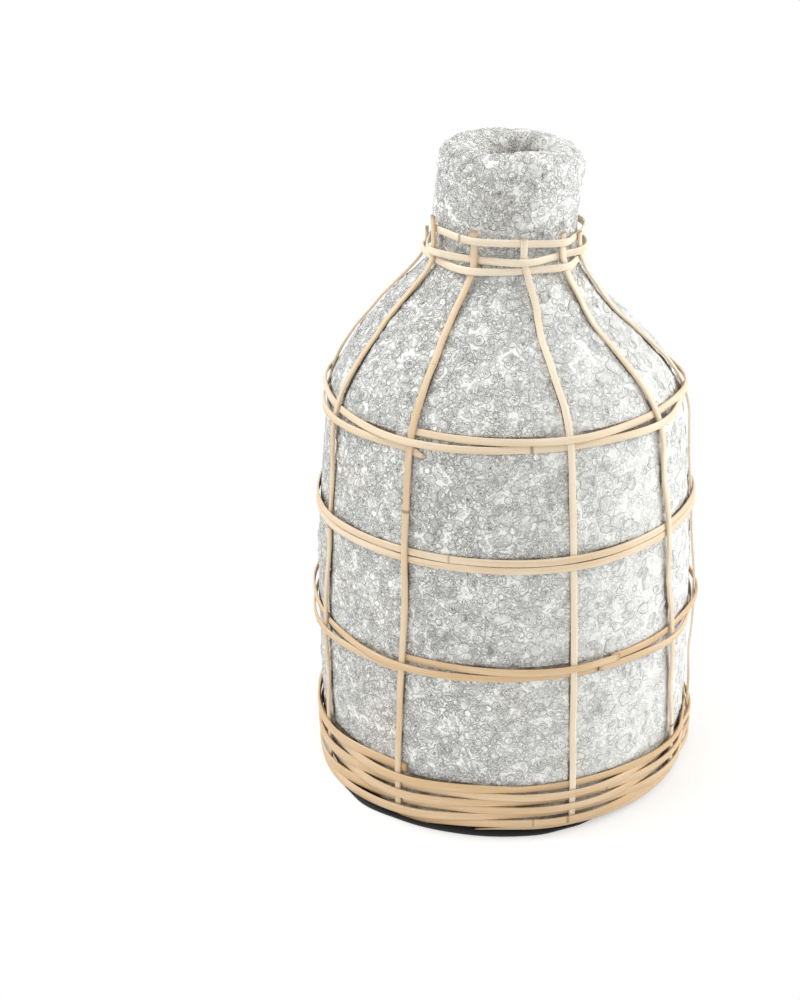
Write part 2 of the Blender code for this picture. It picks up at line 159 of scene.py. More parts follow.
# How far the two front staves stray from an even sweep: heights, and bearings at them.
STAVE_STRAYS = {
    "left": (
        (0.05, 0.090, 0.115, 0.140, 0.160, 0.183, 0.205, 0.225),
        (0.0, 0.8, 0.6, 0.1, -0.6, -0.4, -0.7, 0.3),
    ),
    "right": (
        (0.03, 0.085, 0.115, 0.145, 0.172, 0.200, 0.225),
        (-0.7, -0.95, -0.65, -0.7, -1.1, -0.3, 0.5),
    ),
}

# How much paler than the others some staves and strips are.
STAVE_TONES = {"far left": -0.05, "left": -0.1, "right": 0.38, "far right": 0.3, "right side": 0.3}
STRIP_TONES = {
    "base_weaver_1": -0.22, "base_weaver_2": -0.3,
    "lower_weaver_1": -0.32, "lower_weaver_2": -0.32, "lower_weaver_3": -0.32,
    "waist_weaver_1": 0.08, "waist_weaver_2": 0.08, "upper_weaver": 0.16, "neck_weaver": 0.42,
}
# Width of a foot strip where it lies tight, and how much wider it is where it lies loosest.
FOOT_STRIP_WIDTH = 0.0033
FOOT_STRIP_SPREAD = 0.0017
# Half the width of a strip that a stave has to reach for the strip to meet it.
HALF_STRIP = 0.00155

# Camera: its place, how it is turned, and the photograph's frame.
CAMERA_PLACE = (0.0, -0.7141, 0.4536)
CAMERA_YAW, CAMERA_PITCH, CAMERA_ROLL = -3.83, 24.76, -1.15
FRAME_WIDTH, FRAME_HEIGHT = 800, 1000
FOCAL_PIXELS = 1700.0
SENSOR = 36.0

# Each lamp's place and size in metres, and its power as a share of the key light's.
LAMPS = {
    "top left": ((-0.75, 0.15, 1.15), 0.7, 1.2),
    "key": ((0.95, 0.12, 0.62), 0.6, 1.0),
    "front": ((0.35, -1.0, 0.75), 0.5, 0.32),
    "left": ((-1.0, -0.6, 0.55), 0.5, 0.34),
}
LAMPS_AIM = (0.0, 0.0, 0.14)
# The floor: half its width, how far below the pad it lies, and how its own glow grows with the
# distance from the axis.
FLOOR_REACH = 8.0
FLOOR_DROP = 0.0002
GLOW_START, GLOW_STOP, GLOW_LEAST = 0.092, 0.16, 0.42


class VaseClaySettings(bpy.types.PropertyGroup):
    """The clay's coating."""

    grey: bpy.props.FloatVectorProperty(
        name="Coating", description="Colour of the coating", subtype="COLOR",
        size=3, min=0.0, max=1.0, default=(0.77, 0.78, 0.755),
    )
    pale: bpy.props.FloatVectorProperty(
        name="Rims", description="Colour of the bubbles' raised rims and of the paler grit",
        subtype="COLOR", size=3, min=0.0, max=1.0, default=(0.865, 0.872, 0.855),
    )
    dark: bpy.props.FloatVectorProperty(
        name="Pits", description="Colour of the pits, the outlines and the darker grit",
        subtype="COLOR", size=3, min=0.0, max=1.0, default=(0.22, 0.21, 0.19),
    )
    # Painted shade: the colour painted on the coating beside and under the cane, and inside the mouth,
    # where shade falls.
    shade: bpy.props.FloatVectorProperty(
        name="Under the cane", description="Colour of the coating where the cane hides it",
        subtype="COLOR", size=3, min=0.0, max=1.0, default=(0.12, 0.088, 0.06),
    )
    clay: bpy.props.FloatVectorProperty(
        name="Clay tint", description="Tint of the coating where it is thin, and beside the cane",
        subtype="COLOR", size=3, min=0.0, max=1.0, default=(0.86, 0.70, 0.52),
    )
    bubbles: bpy.props.IntProperty(
        name="Bubbles", description="How many large bubbles the coating has", default=4200, min=0,
    )
    bubble_depth: bpy.props.FloatProperty(
        name="Bubble depth", description="Depth of a burst bubble of average size",
        subtype="DISTANCE", unit="LENGTH", default=0.00035, min=0.0, max=0.002,
    )
    undulation: bpy.props.FloatProperty(
        name="Hand shaping", description="How far the hand-made surface strays from a turned one",
        subtype="DISTANCE", unit="LENGTH", default=0.0006, min=0.0, max=0.002,
    )


class VaseCaneSettings(bpy.types.PropertyGroup):
    """The split cane."""

    stave_width: bpy.props.FloatProperty(
        name="Stave width", description="Width of an upright", subtype="DISTANCE",
        unit="LENGTH", default=0.0029, min=0.001, max=0.005,
    )
    weaver_width: bpy.props.FloatProperty(
        name="Strip width", description="Width of a woven strip", subtype="DISTANCE",
        unit="LENGTH", default=0.0031, min=0.001, max=0.005,
    )
    pale: bpy.props.FloatVectorProperty(
        name="Pale cane", description="Colour of the cane's paler fibres", subtype="COLOR",
        size=3, min=0.0, max=1.0, default=(0.76, 0.68, 0.54),
    )
    honey: bpy.props.FloatVectorProperty(
        name="Honey cane", description="Colour of the cane's darker fibres", subtype="COLOR",
        size=3, min=0.0, max=1.0, default=(0.58, 0.395, 0.215),
    )
    brown: bpy.props.FloatVectorProperty(
        name="Brown flecks", description="Colour of flecks, joints and cut ends",
        subtype="COLOR", size=3, min=0.0, max=1.0, default=(0.20, 0.10, 0.035),
    )


class VaseStageSettings(bpy.types.PropertyGroup):
    """The light and the pad."""

    key_light: bpy.props.FloatProperty(
        name="Key light", description="Power of the key lamp, which the others follow", unit="POWER",
        default=8.9, min=0.0,
    )
    fill: bpy.props.FloatProperty(
        name="Fill", description="Strength of the light from all round", default=0.53, min=0.0,
    )
    pad: bpy.props.FloatVectorProperty(
        name="Pad", description="Colour of the pad under the foot", subtype="COLOR",
        size=3, min=0.0, max=1.0, default=(0.012, 0.012, 0.012),
    )


def smooth(t):
    """0 to 1 with level ends, for a number or an array."""
    t = np.clip(t, 0.0, 1.0)
    return t * t * (3 - 2 * t)


def eased(x, stations, values):
    """The value at x, moving smoothly from each station's value to the next one's."""
    if x <= stations[0]:
        return values[0]
    for start, stop, low, high in zip(stations, stations[1:], values, values[1:]):
        if x <= stop:
            return low + (high - low) * float(smooth((x - start) / (stop - start)))
    return values[-1]


def lean(heights):
    """How far the vase leans to the right at these heights."""
    return np.interp(heights, *zip(*LEANS))


def outer_radius(height):
    """Radius of the clay's outer side."""
    if height <= BELLY_HEIGHT:
        rise = max(height - FOOT_HEIGHT, 0.0) / BELLY_RISE
        return FOOT_RADIUS + (BELLY_RADIUS - FOOT_RADIUS) * math.sin(rise * math.pi / 2)
    if height <= SHOULDER_HEIGHT:
        rise = (height - BELLY_HEIGHT) / BARREL_RISE
        return BELLY_RADIUS - (BELLY_RADIUS - SHOULDER_RADIUS) * rise**2
    if height <= THROAT_HEIGHT:
        rise = ((height - SHOULDER_HEIGHT) / SHOULDER_RISE) ** SHOULDER_SKEW
        barrel_slope = -2 * (BELLY_RADIUS - SHOULDER_RADIUS) / BARREL_RISE
        carried = barrel_slope * SHOULDER_RISE * rise * (1 - rise) ** 2
        drop = (SHOULDER_RADIUS - NECK_RADIUS) * float(smooth(rise))
        return SHOULDER_RADIUS - drop + carried
    rise = (height - THROAT_HEIGHT) / NECK_RISE
    return NECK_RADIUS + (LIP_RADIUS - NECK_RADIUS) * float(smooth(rise))


def outer_slope(height):
    """How fast the outer radius grows with height."""
    step = 0.0005
    return (outer_radius(height + step) - outer_radius(height - step)) / (2 * step)


def cage_radius(height):
    """Radius of the ground that the cane lies on."""
    ground = outer_radius(height)
    if height <= base_top():
        ground = max(ground, PAD_RADIUS)
    slack = COLLAR_SLACK * float(smooth(1 - (THROAT_HEIGHT - height) / COLLAR_RISE))
    return (ground + CLEARANCE) / math.cos(math.radians(FACET_ANGLE / 2)) + slack


def on_cage(bearing, height, lift):
    """The point at a bearing and height, lifted outwards from the cage's ground."""
    turn = math.radians(bearing)
    radius = cage_radius(height) + lift
    return np.array((radius * math.sin(turn), -radius * math.cos(turn), height))


def stave_bearing(stave, height):
    """A stave's bearing at a height."""
    stray = 0.0
    if stave in STAVE_STRAYS:
        heights, bearings = STAVE_STRAYS[stave]
        settled = float(smooth((THROAT_HEIGHT - height) / (THROAT_HEIGHT - heights[-1])))
        stray = eased(height, heights, bearings) * settled
    return eased(height, STAVE_STATION_HEIGHTS, STAVES[stave][:-1]) + stray


def base_row_looseness(bearing):
    """How loosely the base rows lie at a bearing, from 0 to 1."""
    return max(0.0, math.cos(math.radians(bearing - STAVES["left"][0] - LOOSEST_BEARING)))


def base_row_height(bearing):
    """Height of the base spiral's middle line, at a bearing that counts on through its turns."""
    turns, past = divmod(bearing - STAVES["left"][0] - BASE_CLIMB_START, 360)
    row = turns - 1 + float(smooth(past / BASE_CLIMB))
    past += BASE_CLIMB_START
    held_up = float(smooth((past - UNDER_RISE_START) / (UNDER_RISE_STOP - UNDER_RISE_START)))
    let_down = float(smooth((past - UNDER_FALL_START) / (UNDER_FALL_STOP - UNDER_FALL_START)))
    loose = base_row_looseness(bearing)
    pitch = BASE_ROW_PITCH + BASE_ROW_SLACK * loose
    row += held_up * (1 - let_down)
    return BASE_ROW_HEIGHT + pitch * row - BASE_ROW_SAG * loose * max(1 - row / BASE_TURNS, 0.0)


def base_top():
    """Height above the base spiral's last turn, where the staves are free again."""
    return base_row_height(STAVES["left"][0] + 360 * BASE_TURNS) + BAND_ROW_PITCH


def spiral_height(band_height):
    """Height along a spiral of two turns that starts at the left stave and falls."""
    start = stave_bearing("left", band_height)
    middle = BAND_TURNS / 2
    return lambda bearing: band_height + BAND_ROW_PITCH * (middle - (bearing - start) / 360)


def neck_row_height(bearing):
    """Height of the neck strip's middle line."""
    return THROAT_HEIGHT + BAND_ROW_PITCH * eased(bearing, NECK_TURN_BEARINGS, NECK_TURN_ROWS)


def stave_lift(stave, height):
    """How far a stave's back stands off the cage's ground: raised where strips pass behind."""
    reach = BAND_TURNS * BAND_ROW_PITCH
    raised = [
        (0.0, base_top()),
        (LOWER_BAND_HEIGHT - reach, LOWER_BAND_HEIGHT + reach),
        (UPPER_BAND_HEIGHT - reach, UPPER_BAND_HEIGHT + reach),
        (neck_row_height(NECK_TURN_BEARINGS[-1]) - BAND_ROW_PITCH, TOP_HEIGHT),
    ]
    if stave not in WAIST_OVER:
        raised.append((WAIST_BAND_HEIGHT - BAND_ROW_PITCH, WAIST_BAND_HEIGHT + BAND_ROW_PITCH))
    away = min(max(low - height, height - high, 0.0) for low, high in raised)
    return STAVE_RAISED * float(smooth(1 - away / STAVE_SWAY))


def distances(points):
    """How far along a line each of its points lies."""
    return np.concatenate([[0.0], np.cumsum(np.linalg.norm(np.diff(points, axis=0), axis=1))])


def neighbours(around):
    """Each place in a ring with the next one."""
    return [(here, (here + 1) % around) for here in range(around)]


def ring_faces(rings, around):
    """Quads between rings of points."""
    pairs = neighbours(around)
    starts = range(0, (rings - 1) * around, around)
    return [
        (start + a, start + b, start + b + around, start + a + around)
        for start in starts for a, b in pairs
    ]


def tube_faces(rings, around):
    """Quads between rings of points, and a flat face at each end."""
    last = (rings - 1) * around
    ends = [tuple(reversed(range(around))), tuple(range(last, last + around))]
    return ring_faces(rings, around) + ends


def collection():
    """The collection that holds the visual pieces."""
    found = bpy.data.collections.get(COLLECTION)
    if found is None:
        found = bpy.data.collections.new(COLLECTION)
        bpy.context.scene.collection.children.link(found)
    return found


def add_piece(name, vertices, faces, material, attributes=None):
    """A mesh object with its float or vector attributes per vertex."""
    mesh = bpy.data.meshes.new(name)
    mesh.from_pydata(vertices, [], faces)
    mesh.validate()
    for key, values in (attributes or {}).items():
        values = np.asarray(values, dtype=np.float32)
        kind, field = ("FLOAT", "value") if values.ndim == 1 else ("FLOAT_VECTOR", "vector")
        layer = mesh.attributes.new(key, kind, "POINT")
        layer.data.foreach_set(field, values.ravel())
    mesh.polygons.foreach_set("use_smooth", [True] * len(mesh.polygons))
    mesh.materials.append(material)
    piece = bpy.data.objects.new(name, mesh)
    collection().objects.link(piece)
    return piece


def stand_for(piece, node):
    """The piece rides on the vase's body and stands for a CAD node, whose part it hides."""
    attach(piece, "root")
    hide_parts(node)


# Shader helpers.


class Graph:
    """Adds nodes to one node tree and links them."""

    def __init__(self, tree):
        self.tree = tree

    def node(self, kind, inputs=None, **settings):
        """A new node with its settings and what feeds its inputs."""
        made = self.tree.nodes.new(kind)
        for key, value in settings.items():
            setattr(made, key, value)
        for key, value in (inputs or {}).items():
            self.feed(value, made.inputs[key])
        return made

    def feed(self, value, socket):
        """Links another node's output to the socket, or sets it to a plain value."""
        if isinstance(value, bpy.types.NodeSocket):
            self.tree.links.new(value, socket)
        else:
            socket.default_value = value

    def maths(self, operation, *values, kind="ShaderNodeMath", **settings):
        """The result of an operation on the values."""
        return self.node(kind, dict(enumerate(values)), operation=operation, **settings).outputs[0]

    def times(self, found, *others):
        """The product of the values."""
        for other in others:
            found = self.maths("MULTIPLY", found, other)
        return found

    def most(self, found, *others):
        """The largest of the values."""
        for other in others:
            found = self.maths("MAXIMUM", found, other)
        return found

    def vector(self, operation, *values):
        """The result of an operation on vectors."""
        return self.maths(operation, *values, kind="ShaderNodeVectorMath")

    def steps(self, value, low, high, to_low=0.0, to_high=1.0):
        """Smooth step of the value from low to high."""
        places = ("Value", "From Min", "From Max", "To Min", "To Max")
        given = dict(zip(places, (value, low, high, to_low, to_high)))
        return self.node("ShaderNodeMapRange", given, interpolation_type="SMOOTHSTEP").outputs[0]

    def mix(self, share, first, second, blend="MIX"):
        """A colour between two colours."""
        made = self.node("ShaderNodeMix", data_type="RGBA", blend_type=blend)
        for key, value in ((0, share), (6, first), (7, second)):
            if not isinstance(value, bpy.types.NodeSocket) and key:
                value = (*value[:3], 1.0)
            self.feed(value, made.inputs[key])
        return made.outputs[2]

    def speckle(self, vector, scale, detail=2.0, roughness=0.5):
        """Noise from about 0 to 1."""
        given = {"Vector": vector, "Scale": scale, "Detail": detail, "Roughness": roughness}
        return self.node("ShaderNodeTexNoise", given).outputs["Fac"]

    def attribute(self, name, output):
        """A vertex attribute of the mesh."""
        return self.node("ShaderNodeAttribute", attribute_name=name).outputs[output]

    def parts(self, vector):
        """The three numbers of a vector."""
        return self.node("ShaderNodeSeparateXYZ", {"Vector": vector}).outputs

    def seen_directly(self):
        """1 for rays of the camera and through or off smooth things, and 0 for other rays."""
        sees = self.node("ShaderNodeLightPath").outputs
        return self.most(sees["Is Camera Ray"], sees["Is Glossy Ray"], sees["Is Transmission Ray"])

    def coat(self, surface, colour, roughness, height, strength, distance):
        """Gives a Principled shader its colour and roughness, and a relief of bumps in metres."""
        relief = {"Height": height, "Strength": strength, "Distance": distance}
        normal = self.node("ShaderNodeBump", relief).outputs["Normal"]
        for key, value in (("Base Color", colour), ("Roughness", roughness), ("Normal", normal)):
            self.feed(value, surface.inputs[key])

    def give_out(self, values):
        """Adds a node group's outputs, each a number."""
        for label in values:
            self.tree.interface.new_socket(label, in_out="OUTPUT", socket_type="NodeSocketFloat")
        self.node("NodeGroupOutput", values)


def new_material(name):
    """A material and the graph of its node tree, holding a Principled shader and an output."""
    found = bpy.data.materials.new(name)
    found.use_nodes = True
    return found, Graph(found.node_tree), found.node_tree.nodes["Principled BSDF"]


def new_group(name, inputs):
    """The graph of a node group with inputs of these kinds, and what they bring."""
    tree = bpy.data.node_groups.new(name, "ShaderNodeTree")
    for label, kind in inputs.items():
        tree.interface.new_socket(label, in_out="INPUT", socket_type=kind)
    graph = Graph(tree)
    return graph, graph.node("NodeGroupInput").outputs


def bubble_group():
    """Burst bubbles of one size: their pits, rims, dark outlines and height."""
    name = "Burst bubbles"
    if name in bpy.data.node_groups:
        return bpy.data.node_groups[name]
    graph, given = new_group(
        name, {"Vector": "NodeSocketVector", "Scale": "NodeSocketFloat", "Share": "NodeSocketFloat"},
    )
    cells = graph.node("ShaderNodeTexVoronoi", {key: given[key] for key in ("Vector", "Scale")})
    lots = graph.node("ShaderNodeSeparateColor", {"Color": cells.outputs["Color"]}).outputs
    size = graph.maths("MULTIPLY_ADD", lots["Red"], 0.20, 0.24)
    reach = graph.maths("DIVIDE", cells.outputs["Distance"], size)
    there = graph.maths("LESS_THAN", lots["Green"], given["Share"])
    deep = graph.steps(lots["Blue"], 0.15, 0.6)
    pit = graph.times(graph.steps(reach, 0.52, 0.22), there, deep)
    rim = graph.times(graph.steps(reach, 0.52, 0.78), graph.steps(reach, 1.14, 0.92), there)
    outline = graph.times(graph.steps(reach, 1.02, 1.14), graph.steps(reach, 1.42, 1.2), there)
    height = graph.maths("MULTIPLY_ADD", pit, -0.9, rim)
    height = graph.maths("MULTIPLY_ADD", outline, -0.35, height)
    graph.give_out({"Pit": pit, "Rim": rim, "Outline": outline, "Height": height})
    return graph.tree


def grain_group():
    """The grain of split cane: long fibres, flecks and slow changes of colour."""
    name = "Cane grain"
    if name in bpy.data.node_groups:
        return bpy.data.node_groups[name]
    graph, given = new_group(name, {"Grain": "NodeSocketVector", "Fleck Share": "NodeSocketFloat"})
    fibre, broad, drift, spots = (
        graph.speckle(graph.vector("MULTIPLY", given["Grain"], scales), 1.0, detail, roughness)
        for scales, detail, roughness in (
            ((45.0, 2600.0, 11.0), 3.0, 0.62),
            ((14.0, 900.0, 7.0), 2.0, 0.5),
            ((22.0, 120.0, 5.0), 2.0, 0.55),
            ((420.0, 1500.0, 3.0), 2.0, 0.6),
        )
    )
    fleck = graph.steps(spots, graph.maths("SUBTRACT", 0.80, given["Fleck Share"]), 0.84)
    both = graph.maths("MULTIPLY_ADD", broad, 0.45, graph.times(fibre, 0.55))
    graph.give_out({
        "Fibre": graph.steps(both, 0.34, 0.66), "Drift": graph.steps(drift, 0.3, 0.7),
        "Fleck": fleck, "Height": both,
    })
    return graph.tree


def clay_material(settings):
    """Rough bubbled coating: carved bubbles, finer ones of three sizes, folds and grit."""
    made, graph, surface = new_material("Bubbled clay coating")
    place = graph.node("ShaderNodeTexCoord").outputs["Object"]
    stray = graph.node("ShaderNodeTexNoise", {"Vector": place, "Scale": 420.0, "Detail": 2.0})
    stray = graph.vector("SUBTRACT", stray.outputs["Color"], (0.5, 0.5, 0.5))
    warped = graph.vector("MULTIPLY_ADD", stray, (0.0011, 0.0011, 0.0011), place)

    told, darkness, lot = graph.parts(graph.attribute("bubble", "Vector"))
    ragged = graph.speckle(place, 900.0, 2.0)
    told = graph.maths("MULTIPLY_ADD", graph.maths("SUBTRACT", ragged, 0.5), 0.30, told)
    inside = graph.steps(told, -0.08, -0.30)
    centre = graph.steps(told, -0.35, -0.80)
    rim = graph.steps(graph.maths("ABSOLUTE", told), 0.24, 0.06)
    outline = graph.times(graph.steps(told, 0.14, 0.24), graph.steps(told, 0.42, 0.29))
    inner_line = graph.times(graph.steps(told, -0.14, -0.24), graph.steps(told, -0.42, -0.29))
    open_share = graph.steps(darkness, 0.02, 0.3)
    closed_share = graph.maths("SUBTRACT", 1.0, open_share)
    # Painted shade: the coating is darkened in ragged patches beside and under the cane, and inside the
    # mouth, where shade falls.
    under = graph.attribute("under", "Fac")
    under = graph.maths("MULTIPLY_ADD", graph.maths("SUBTRACT", ragged, 0.5), 0.6, under)
    shade_patches = graph.steps(graph.speckle(place, 60.0, 1.0), 0.42, 0.60, 0.25, 0.85)
    shade = graph.times(graph.steps(under, 0.05, -0.15), shade_patches)
    clear = graph.steps(told, 0.0, 0.35, 0.55, 1.0)

    # Painted light: the fine texture's marks, and its bumps, are stronger at the left than at the
    # right, the left being in shade and the right washed out by the key light.
    painted_light_contrast = graph.steps(graph.parts(place)["X"], -0.03, 0.07, 1.75, 0.5)

    fine = []
    for scale, share in ((205.0, 0.80), (350.0, 0.95), (640.0, 0.95)):
        given = {"Vector": warped, "Scale": scale, "Share": share}
        fine.append(graph.node("ShaderNodeGroup", given, node_tree=bubble_group()).outputs)

    def strongest(key, weights):
        """The strongest of the three sizes' values, faint on the smooth islands."""
        found = [graph.times(part[key], weight) for part, weight in zip(fine, weights)]
        return graph.times(graph.most(0.0, *found), graph.times(clear, painted_light_contrast))

    broken = graph.steps(graph.speckle(place, 150.0, 2.0), 0.40, 0.56)
    broken = graph.times(broken, clear, painted_light_contrast)

    def creases(scale, width):
        """Grooves of about this width along a noise's middle level, and the ridges beside them."""
        level = graph.speckle(warped, scale, 2.0)
        away = graph.maths("ABSOLUTE", graph.maths("SUBTRACT", level, 0.5))
        grooves = graph.steps(away, width, width * 0.25)
        ridges = graph.steps(away, width, width * 1.9)
        ridges = graph.times(ridges, graph.steps(away, width * 4.2, width * 2.5))
        return graph.times(grooves, broken), graph.times(ridges, broken)

    groove, ridge = creases(260.0, 0.018)
    thin_groove, thin_ridge = creases(560.0, 0.030)
    groove = graph.most(groove, graph.times(thin_groove, 0.8))
    ridge = graph.most(ridge, graph.times(thin_ridge, 0.8))
    patch = graph.speckle(place, 38.0, 2.0)
    grit = graph.speckle(place, 1000.0, 3.0, 0.7)

    rims = graph.times(rim, graph.steps(lot, 0.0, 1.0, 0.2, 1.0))
    rims = graph.most(rims, strongest("Rim", (0.60, 0.50, 0.3)), graph.times(ridge, 0.12))
    rims = graph.maths("MINIMUM", rims, 0.66)
    # The dark outlines and creases are partly the coating's own colour and partly painted shade in
    # these recesses.
    edges = graph.most(outline, graph.times(inner_line, open_share))
    edges = graph.times(edges, graph.steps(ragged, 0.38, 0.60), painted_light_contrast)
    lines = graph.times(edges, graph.steps(lot, 0.0, 1.0, 0.14, 0.66))
    lines = graph.most(lines, strongest("Outline", (0.37, 0.30, 0.16)), graph.times(groove, 0.40))
    pits = strongest("Pit", (0.46, 0.46, 0.42))
    deep = graph.times(graph.maths("MULTIPLY_ADD", centre, 0.42, 0.12), darkness, inside)
    island = graph.times(inside, closed_share)
    warm = graph.steps(under, 0.9, 0.0, 0.0, 0.22)
    warm = graph.maths("ADD", warm, graph.steps(graph.speckle(place, 24.0, 2.0), 0.58, 0.72, 0.0, 0.18))

    cloud = graph.speckle(place, 85.0, 3.0, 0.6)
    colour = settings.grey
    for amount, added, blend in (
        (graph.steps(patch, 0.35, 0.65, 0.0, 0.08), settings.pale, "MIX"),
        (graph.times(island, 0.13), settings.dark, "MIX"),
        (graph.steps(cloud, 0.48, 0.70, 0.0, 0.06), settings.dark, "MIX"),
        (graph.steps(grit, 0.50, 0.74, 0.0, 0.19), settings.dark, "MIX"),
        (graph.steps(grit, 0.47, 0.30, 0.0, 0.14), settings.pale, "MIX"),
        (lines, settings.dark, "MIX"),
        (rims, settings.pale, "MIX"),
        (pits, settings.dark, "MIX"),
        (deep, settings.dark, "MIX"),
        (warm, settings.clay, "MULTIPLY"),
        (shade, settings.shade, "MIX"),
    ):
        colour = graph.mix(amount, colour, added, blend)
    roughness = graph.steps(island, 0.0, 1.0, 0.95, 0.8)
    surface.inputs["Specular IOR Level"].default_value = 0.25

    hollow = graph.times(graph.steps(told, 0.0, -0.6), open_share)
    dome = graph.times(graph.steps(told, 0.28, -0.1), closed_share)
    height = graph.times(grit, 0.34)
    for value, weight in (
        (strongest("Height", (1.0, 0.8, 0.4)), 1.0), (groove, -0.6), (ridge, 0.2),
        (rim, 0.7), (outline, -0.35), (hollow, -0.6), (dome, 0.4),
    ):
        height = graph.maths("MULTIPLY_ADD", value, weight, height)
    graph.coat(surface, colour, roughness, height, 1.0, 0.00054)
    return made


def cane_material(name, settings, light, flecks, roughness):
    """Split rattan: pale fibres in honey ones, brown flecks, joints and cut ends."""
    made, graph, surface = new_material(name)
    joint, cut, tone = graph.parts(graph.attribute("marks", "Vector"))
    given = {"Grain": graph.attribute("grain", "Vector"), "Fleck Share": flecks}
    grain = graph.node("ShaderNodeGroup", given, node_tree=grain_group()).outputs
    share = graph.maths("MULTIPLY_ADD", grain["Fibre"], -0.35, light)
    share = graph.maths("MULTIPLY_ADD", grain["Drift"], -0.25, share)
    share = graph.maths("ADD", share, tone, use_clamp=True)
    colour = graph.mix(share, settings.honey, settings.pale)
    flecked, jointed = graph.times(grain["Fleck"], 0.7), graph.steps(joint, 0.45, 0.95, 0.0, 0.75)
    for browned in (flecked, jointed, graph.times(cut, 0.6)):
        colour = graph.mix(browned, colour, settings.brown)
    worn = graph.steps(grain["Fibre"], 0.0, 1.0, roughness, roughness + 0.14)
    surface.inputs["Specular IOR Level"].default_value = 0.4
    graph.coat(surface, colour, worn, grain["Height"], 0.6, 0.00025)
    return made


# Each kind of cane: how light it is, its share of flecks and how rough it is.
CANES = {"Stave rattan": (0.70, 0.03, 0.42), "Woven rattan": (0.75, 0.05, 0.40)}


def cane(name):
    """The cane of this name, made on first use."""
    found = bpy.data.materials.get(name)
    return found or cane_material(name, bpy.context.scene.vase_cane, *CANES[name])


# The clay.

# How much lower the hand-made lip stands than a turned one, and how much more at the right.
LIP_DROP = 0.0020
LIP_SLUMP = 0.0030
# How far in from the crest the mouth slopes at its left, and how much it narrows there.
MOUTH_SLOPE = 0.020
MOUTH_PINCH = 0.30
COLUMNS = 720
ROW_STEP = 0.00075
FOOT_ROWS = 5
SIDE_ROWS = 600
LIP_ROWS = 24
INNER_ROWS = 14
BORE_ROWS = 40
# The relief grows over this length from the foot's edge, and fades out over this length, which
# ends this far beyond the mouth's edge.
RELIEF_START = 0.003
RELIEF_FADE = 0.01
RELIEF_END = 0.012
# How quickly the two kinds of hand shaping change from place to place.
SLOW_SCALE, QUICK_SCALE = 55.0, 170.0
# How far from the cane the painted shade beside it reaches, and over what length past the crest of the
# lip the painted shade inside the mouth deepens, and how far it does.
PAINTED_SHADE_REACH = 0.002
MOUTH_DARK_REACH, MOUTH_DARK = 0.016, 1.06


def arc(middle, size, angles):
    """Radius and height along an oval with this middle and these half sizes."""
    turns = [math.radians(angle) for angle in angles]
    return [
        (middle[0] + size[0] * math.cos(turn), middle[1] + size[1] * math.sin(turn)) for turn in turns
    ]


def clay_path():
    """Radius and height along the clay's section, from the foot's edge to the inside floor.

    Returns the points, and the share of the hand-made relief that each of them takes.
    """
    side = FOOT_HEIGHT + FOOT_ROUND
    foot = np.linspace(-90, 0, FOOT_ROWS)
    points = arc((FOOT_RADIUS - FOOT_ROUND, side), (FOOT_ROUND, FOOT_ROUND), foot)
    for height in np.linspace(side, LIP_HEIGHT, SIDE_ROWS)[1:]:
        points.append((outer_radius(height), height))
    lip = np.linspace(0, 90, LIP_ROWS)[1:]
    points += arc((CREST_RADIUS, LIP_HEIGHT), (LIP_RADIUS - CREST_RADIUS, LIP_RISE), lip)
    mouth = np.linspace(90, 0, LIP_ROWS)[1:]
    sunk = TOP_HEIGHT - MOUTH_DEPTH
    points += arc((CREST_RADIUS, sunk), (MOUTH_RADIUS - CREST_RADIUS, MOUTH_DEPTH), mouth)
    mouth_end = len(points)
    throat_wall = NECK_RADIUS - BORE_RADIUS
    for height in np.linspace(LIP_HEIGHT - MOUTH_DEPTH, THROAT_HEIGHT, BORE_ROWS):
        points.append((BORE_RADIUS, height))
    along = distances(points)
    even = np.linspace(0, along[-1], int(along[-1] / ROW_STEP))
    path = np.column_stack([np.interp(even, along, values) for values in zip(*points)])
    inner = []
    for height in np.linspace(THROAT_HEIGHT, BELLY_HEIGHT, INNER_ROWS)[1:]:
        thicker = float(smooth((height - SHOULDER_HEIGHT) / SHOULDER_RISE))
        wall = WALL + (throat_wall - WALL) * thicker
        slope = outer_slope(height)
        length = math.hypot(1.0, slope)
        inner.append((outer_radius(height) - wall / length, height + wall * slope / length))
    corner = FOOT_RADIUS - WALL
    floor = FOOT_HEIGHT + FLOOR
    inner += [(corner, floor + WALL), (corner - WALL * 0.3, floor + WALL * 0.3), (corner - WALL, floor)]
    carved_to = along[mouth_end - 1] + RELIEF_END
    share = smooth(even / RELIEF_START) * smooth((carved_to - even) / RELIEF_FADE)
    return np.vstack([path, inner]), np.concatenate([share, np.zeros(len(inner))])


def path_normals(path):
    """Outward normals of a section that runs up its outer side."""
    tangent = np.gradient(path, axis=0)
    tangent /= np.hypot(*tangent.T)[:, None]
    return np.column_stack([tangent[:, 1], -tangent[:, 0]])


